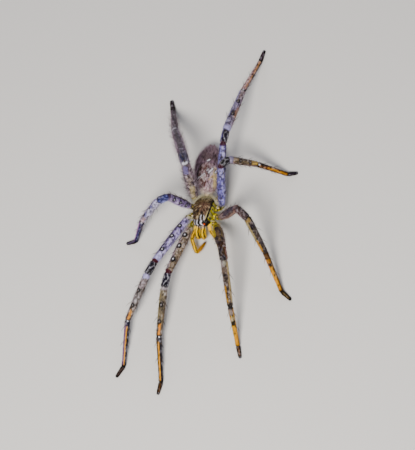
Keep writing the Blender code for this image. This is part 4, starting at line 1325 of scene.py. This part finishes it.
def make_carapace():
    """The cephalothorax: its skin, its coat and the fluff between it and the abdomen."""
    draw = np.random.default_rng(CARAPACE_SEED)
    skin = wrap("carapace", carapace_surface, *CARAPACE_GRID, paint_carapace, plain_layout, carapace_finish)
    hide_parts("cephalothorax")

    def rear(u, v):
        turn = np.abs(turn_at(u))
        return step(0.72, 0.9, v) * step(2.2, 1.2, turn)

    def shoulder(u, v):
        turn = np.abs(np.abs(turn_at(u)) - 1.65)
        return band(v, 0.74, 0.90, 0.06) * step(0.55, 0.2, turn)

    def front(u, v):
        turn = np.abs(turn_at(u))
        return step(0.30, 0.05, v) * step(1.9, 1.3, turn)

    fur = partial(grow, carapace_surface, paint_carapace, plain_layout, draw)
    batches = [
        fur(count=25000, length=0.36, width=0.065, rise=13),
        fur(count=900, length=0.7, width=0.05, rise=45, rings=3, curl=-20, tint="E6DFC8", tinted=0.25,
            sway=0.5),
        fur(count=300, length=0.8, width=0.055, rise=42, rings=3, curl=-25, weight=rear, tint="F0EAD2",
            tinted=0.6, sway=0.7),
        fur(count=1500, length=1.6, width=0.06, rise=45, rings=3, curl=-25, weight=shoulder,
            tint="F4EFDC", tinted=0.85, sway=0.8),
        fur(count=160, length=0.7, width=0.06, rise=40, rings=3, curl=-20, weight=front, sway=0.4),
    ]
    coat = hair_mesh("carapace_coat", batches, hair_finish)


def make_abdomen():
    """The abdomen: its skin, its coat, longer towards the rear, and its four spinnerets."""
    draw = np.random.default_rng(ABDOMEN_SEED)
    skin = wrap("abdomen_skin", abdomen_surface, *ABDOMEN_GRID, paint_abdomen, plain_layout,
                abdomen_finish)
    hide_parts("abdomen")

    def fore(u, v):
        return step(0.20, 0.15, v) * step(0.10, 0.13, v)

    def rear(u, v):
        turn = np.abs(turn_at(u))
        return 0.03 + step(0.6, 0.9, v) + 0.6 * band(turn, 1.0, 1.8, 0.3) * step(0.12, 0.2, v)

    def body(u, v):
        return step(0.10, 0.14, v)

    fur = partial(grow, abdomen_surface, paint_abdomen, plain_layout, draw)
    batches = [
        fur(count=29000, length=0.50, width=0.08, rise=17, weight=body),
        fur(count=2800, length=1.3, width=0.055, rise=42, rings=3, curl=-22, weight=rear, tint="D4BFCB",
            tinted=0.4, sway=0.4, spread=0.4),
        fur(count=600, length=0.9, width=0.06, rise=45, rings=3, curl=-22, weight=fore, tint="F2ECDC",
            tinted=0.6, sway=0.7),
    ]
    coat = hair_mesh("abdomen_coat", batches, hair_finish)
    tip = np.array([ABDOMEN_ASIDE, ABDOMEN_FRONT + ABDOMEN_LENGTH, ABDOMEN_MIDDLE])
    number = 0
    for mirror in (1, -1):
        for drop, spread, length in SPINNERETS:
            number += 1
            root = tip + np.array([mirror * spread, -SPINNERET_ROOT, -drop])
            end = root + np.array([mirror * 0.25, length + SPINNERET_ROOT, -0.35])
            whole = float(np.linalg.norm(end - root))
            taper = eased(((0, 0.40), (whole * 0.7, 0.34), (whole, 0.20)), 0.1)

            def radius(along, taper=taper, whole=whole):
                return taper(along) * closing(along, whole, 0.2, 0.12)

            limb = Limb((root, end), radius)

            def paint(u, v):
                return mix(colour("6A5A52"), colour("A8968A"), np.cos(v * 60) * 0.3 + 0.4)

            piece = wrap(f"spinneret_{number}", limb.surface, *SPINNERET_GRID, paint, plain_layout,
                         abdomen_finish)


def make_palp(side, seed):
    """One palp, from beside the mouth round its bend to the tip."""
    draw = np.random.default_rng(seed)
    points = [np.array(point) for point in PALP_PATHS[side]]
    joints = measured(points)
    smooth = eased([(joint, PALP_RADIUS * size) for joint, size in zip(joints, PALP_SIZES)], 0.6)
    whole = joints[-1]

    def radius(along):
        along = np.asarray(along, float)
        slim = smooth(along) * SLIMMER - 0.6 * COAT_DEPTH
        for joint in (joints[1], joints[2], joints[4]):
            away = np.abs(along - joint)
            slim = slim * (1 - 0.24 * np.exp(-(away / 0.22) ** 2))
            slim = slim * (1 + 0.05 * np.exp(-((away - 0.55) / 0.25) ** 2))
        return slim * closing(along, whole, 0.5, 0.35)

    limb = Limb(points, radius)
    paint = palp_colours(limb, "C49A58" if side == "right" else "E0A21C")
    skin = wrap(f"palp_{side}", limb.surface, PALP_AROUND, int(whole / PALP_STEP), paint, plain_layout,
                skin_finish)
    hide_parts(*[f"palp_{side}_{piece}" for piece in ("femur", "tibia", "tarsus")])

    def outside(u, v):
        return step(0.10, 0.2, v)

    def tip(u, v):
        return step(0.7, 0.95, v)

    fur = partial(grow, limb.surface, paint, plain_layout, draw)
    batches = [
        fur(count=4200, length=0.34, width=0.06, rise=18, weight=outside),
        fur(count=700, length=0.9, width=0.05, rise=50, rings=3, curl=-20, weight=outside, tint="F0DC80",
            tinted=0.2, sway=0.5),
        fur(count=900, length=0.45, width=0.06, rise=30, weight=tip, tint="rust", tinted=0.3),
    ]
    coat = hair_mesh(f"palp_{side}_coat", batches, hair_finish)


def make_jaw(side, seed):
    """One chelicera with its bristles, and its fang folded in below it."""
    draw = np.random.default_rng(seed)
    mirror = 1 if side == "left" else -1
    start = CARAPACE_FRONT - 0.3
    middle = float(head_lean(CARAPACE_FRONT))
    points = [np.array([middle + mirror * outward, start - forward, height])
              for forward, height, _, _, outward in JAW_STATIONS]
    joints = measured(points)
    whole = joints[-1]
    half_widths = eased([(joint, row[2]) for joint, row in zip(joints, JAW_STATIONS)], 0.5)
    half_depths = eased([(joint, row[3]) for joint, row in zip(joints, JAW_STATIONS)], 0.5)

    def slimmer(halves, along):
        along = np.asarray(along, float)
        return (halves(along) * 0.97 - 0.5 * COAT_DEPTH) * closing(along, whole, 0.3, 0.45)

    def wide(along):
        return slimmer(half_widths, along)

    def deep(along):
        return slimmer(half_depths, along)

    limb = Limb(points, wide, deep, across=(-1, 0, 0))
    paint = jaw_colours(limb)
    skin = wrap(f"jaw_{side}", limb.surface, *JAW_GRID, paint, plain_layout, skin_finish)
    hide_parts(f"chelicera_{side}")

    def outside(u, v):
        return step(0.12, 0.25, v)

    def mouth(u, v):
        return step(0.6, 0.95, v)

    fur = partial(grow, limb.surface, paint, plain_layout, draw)
    batches = [
        fur(count=3000, length=0.34, width=0.055, rise=20, weight=outside),
        fur(count=420, length=0.8, width=0.05, rise=55, rings=3, curl=-20, weight=outside),
        fur(count=500, length=0.6, width=0.06, rise=25, rings=3, curl=-10, weight=mouth, tint="B5652A",
            tinted=0.6),
    ]
    coat = hair_mesh(f"jaw_{side}_coat", batches, hair_finish)
    tip = points[-1]
    path = (tip + (0, 0, 0.25), tip + (-mirror * 0.15, 0.10, -0.15), tip + (-mirror * 0.45, 0.45, -0.30),
            tip + (-mirror * 0.70, 0.95, -0.22))
    reach = sum(float(np.linalg.norm(np.subtract(b, a))) for a, b in zip(path, path[1:]))
    taper = eased(((0, 0.26), (reach * 0.5, 0.17), (reach, 0.03)), 0.2)

    def fang_radius(along):
        return taper(along) * closing(np.asarray(along, float), reach, 0.1, 0.05)

    fang = Limb(path, fang_radius)

    def fang_paint(u, v):
        return mix(colour("5A1E14"), colour("150A0A"), step(0.2, 0.8, v))

    piece = wrap(f"fang_{side}", fang.surface, *FANG_GRID, fang_paint, plain_layout, spine_finish)


def make_eye(name):
    """One eye where the solid one is: a round lens in a low dark rim."""
    low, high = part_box(name)
    centre = (low + high) / 2
    radius = (high.z - low.z) / 2
    shape = bmesh.new()
    bmesh.ops.create_uvsphere(shape, u_segments=32, v_segments=18, radius=radius)
    bmesh.ops.translate(shape, verts=shape.verts, vec=centre)
    mesh = bpy.data.meshes.new(f"{name}_lens")
    shape.to_mesh(mesh)
    shape.free()
    lens = make_object(f"{name}_lens", mesh, eye_finish)
    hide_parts(name)
    # the rim lies round the eye in the plane of the skin, which faces away from the head's middle
    outward = Vector((0, -1, 0.25)) if name[4] == "a" else Vector((0, -0.25, 1))
    outward = (outward + Vector((0.25 if name.endswith("left") else -0.25, 0, 0))).normalized()
    aim = outward.to_track_quat("Z", "Y").to_matrix().to_4x4()
    shape = bmesh.new()
    bmesh.ops.create_circle(shape, segments=16, radius=radius * 0.20, cap_ends=False)
    bmesh.ops.rotate(shape, verts=shape.verts, matrix=Matrix.Rotation(math.pi / 2, 3, "X"))
    bmesh.ops.translate(shape, verts=shape.verts, vec=(radius * 1.06, 0, radius * 0.12))
    bmesh.ops.spin(shape, geom=shape.verts[:] + shape.edges[:], cent=(0, 0, 0), axis=(0, 0, 1),
                   angle=math.tau, steps=32, use_merge=True)
    bmesh.ops.transform(shape, matrix=Matrix.Translation(centre) @ aim, verts=shape.verts)
    bmesh.ops.recalc_face_normals(shape, faces=shape.faces)
    mesh = bpy.data.meshes.new(f"{name}_rim")
    shape.to_mesh(mesh)
    shape.free()
    add_marking(mesh, np.tile(colour("1A1418"), (len(mesh.vertices), 1)), "POINT")
    rim = make_object(f"{name}_rim", mesh, spine_finish)


make_camera()
make_floor()
make_world()
for name, light in LIGHTS.items():
    make_light(name, *light)

skin_finish = furred_chitin("furred chitin of the legs", 0.22, 0.05, 0.55, 0.22)
carapace_finish = furred_chitin("furred chitin of the carapace", 0.30, 0.05, 0.50, 0.20)
abdomen_finish = furred_chitin("soft furred skin of the abdomen", 0.35, 0.06, 0.70, 0.20)
hair_finish = marked_chitin("hair chitin", 0.62, 0.18)
spine_finish = marked_chitin("spine chitin", 0.28, 0.50)
eye_finish = lens_cornea("eye lens")

make_carapace()
make_abdomen()
for number, (flank, pair) in enumerate(STANCES):
    make_leg(flank, pair, LEG_SEED + number)
for number, flank in enumerate(("left", "right")):
    make_palp(flank, PALP_SEED + number)
    make_jaw(flank, JAW_SEED + number)
for eye in ("ame", "ale", "pme", "ple"):
    for flank in ("left", "right"):
        make_eye(f"eye_{eye}_{flank}")
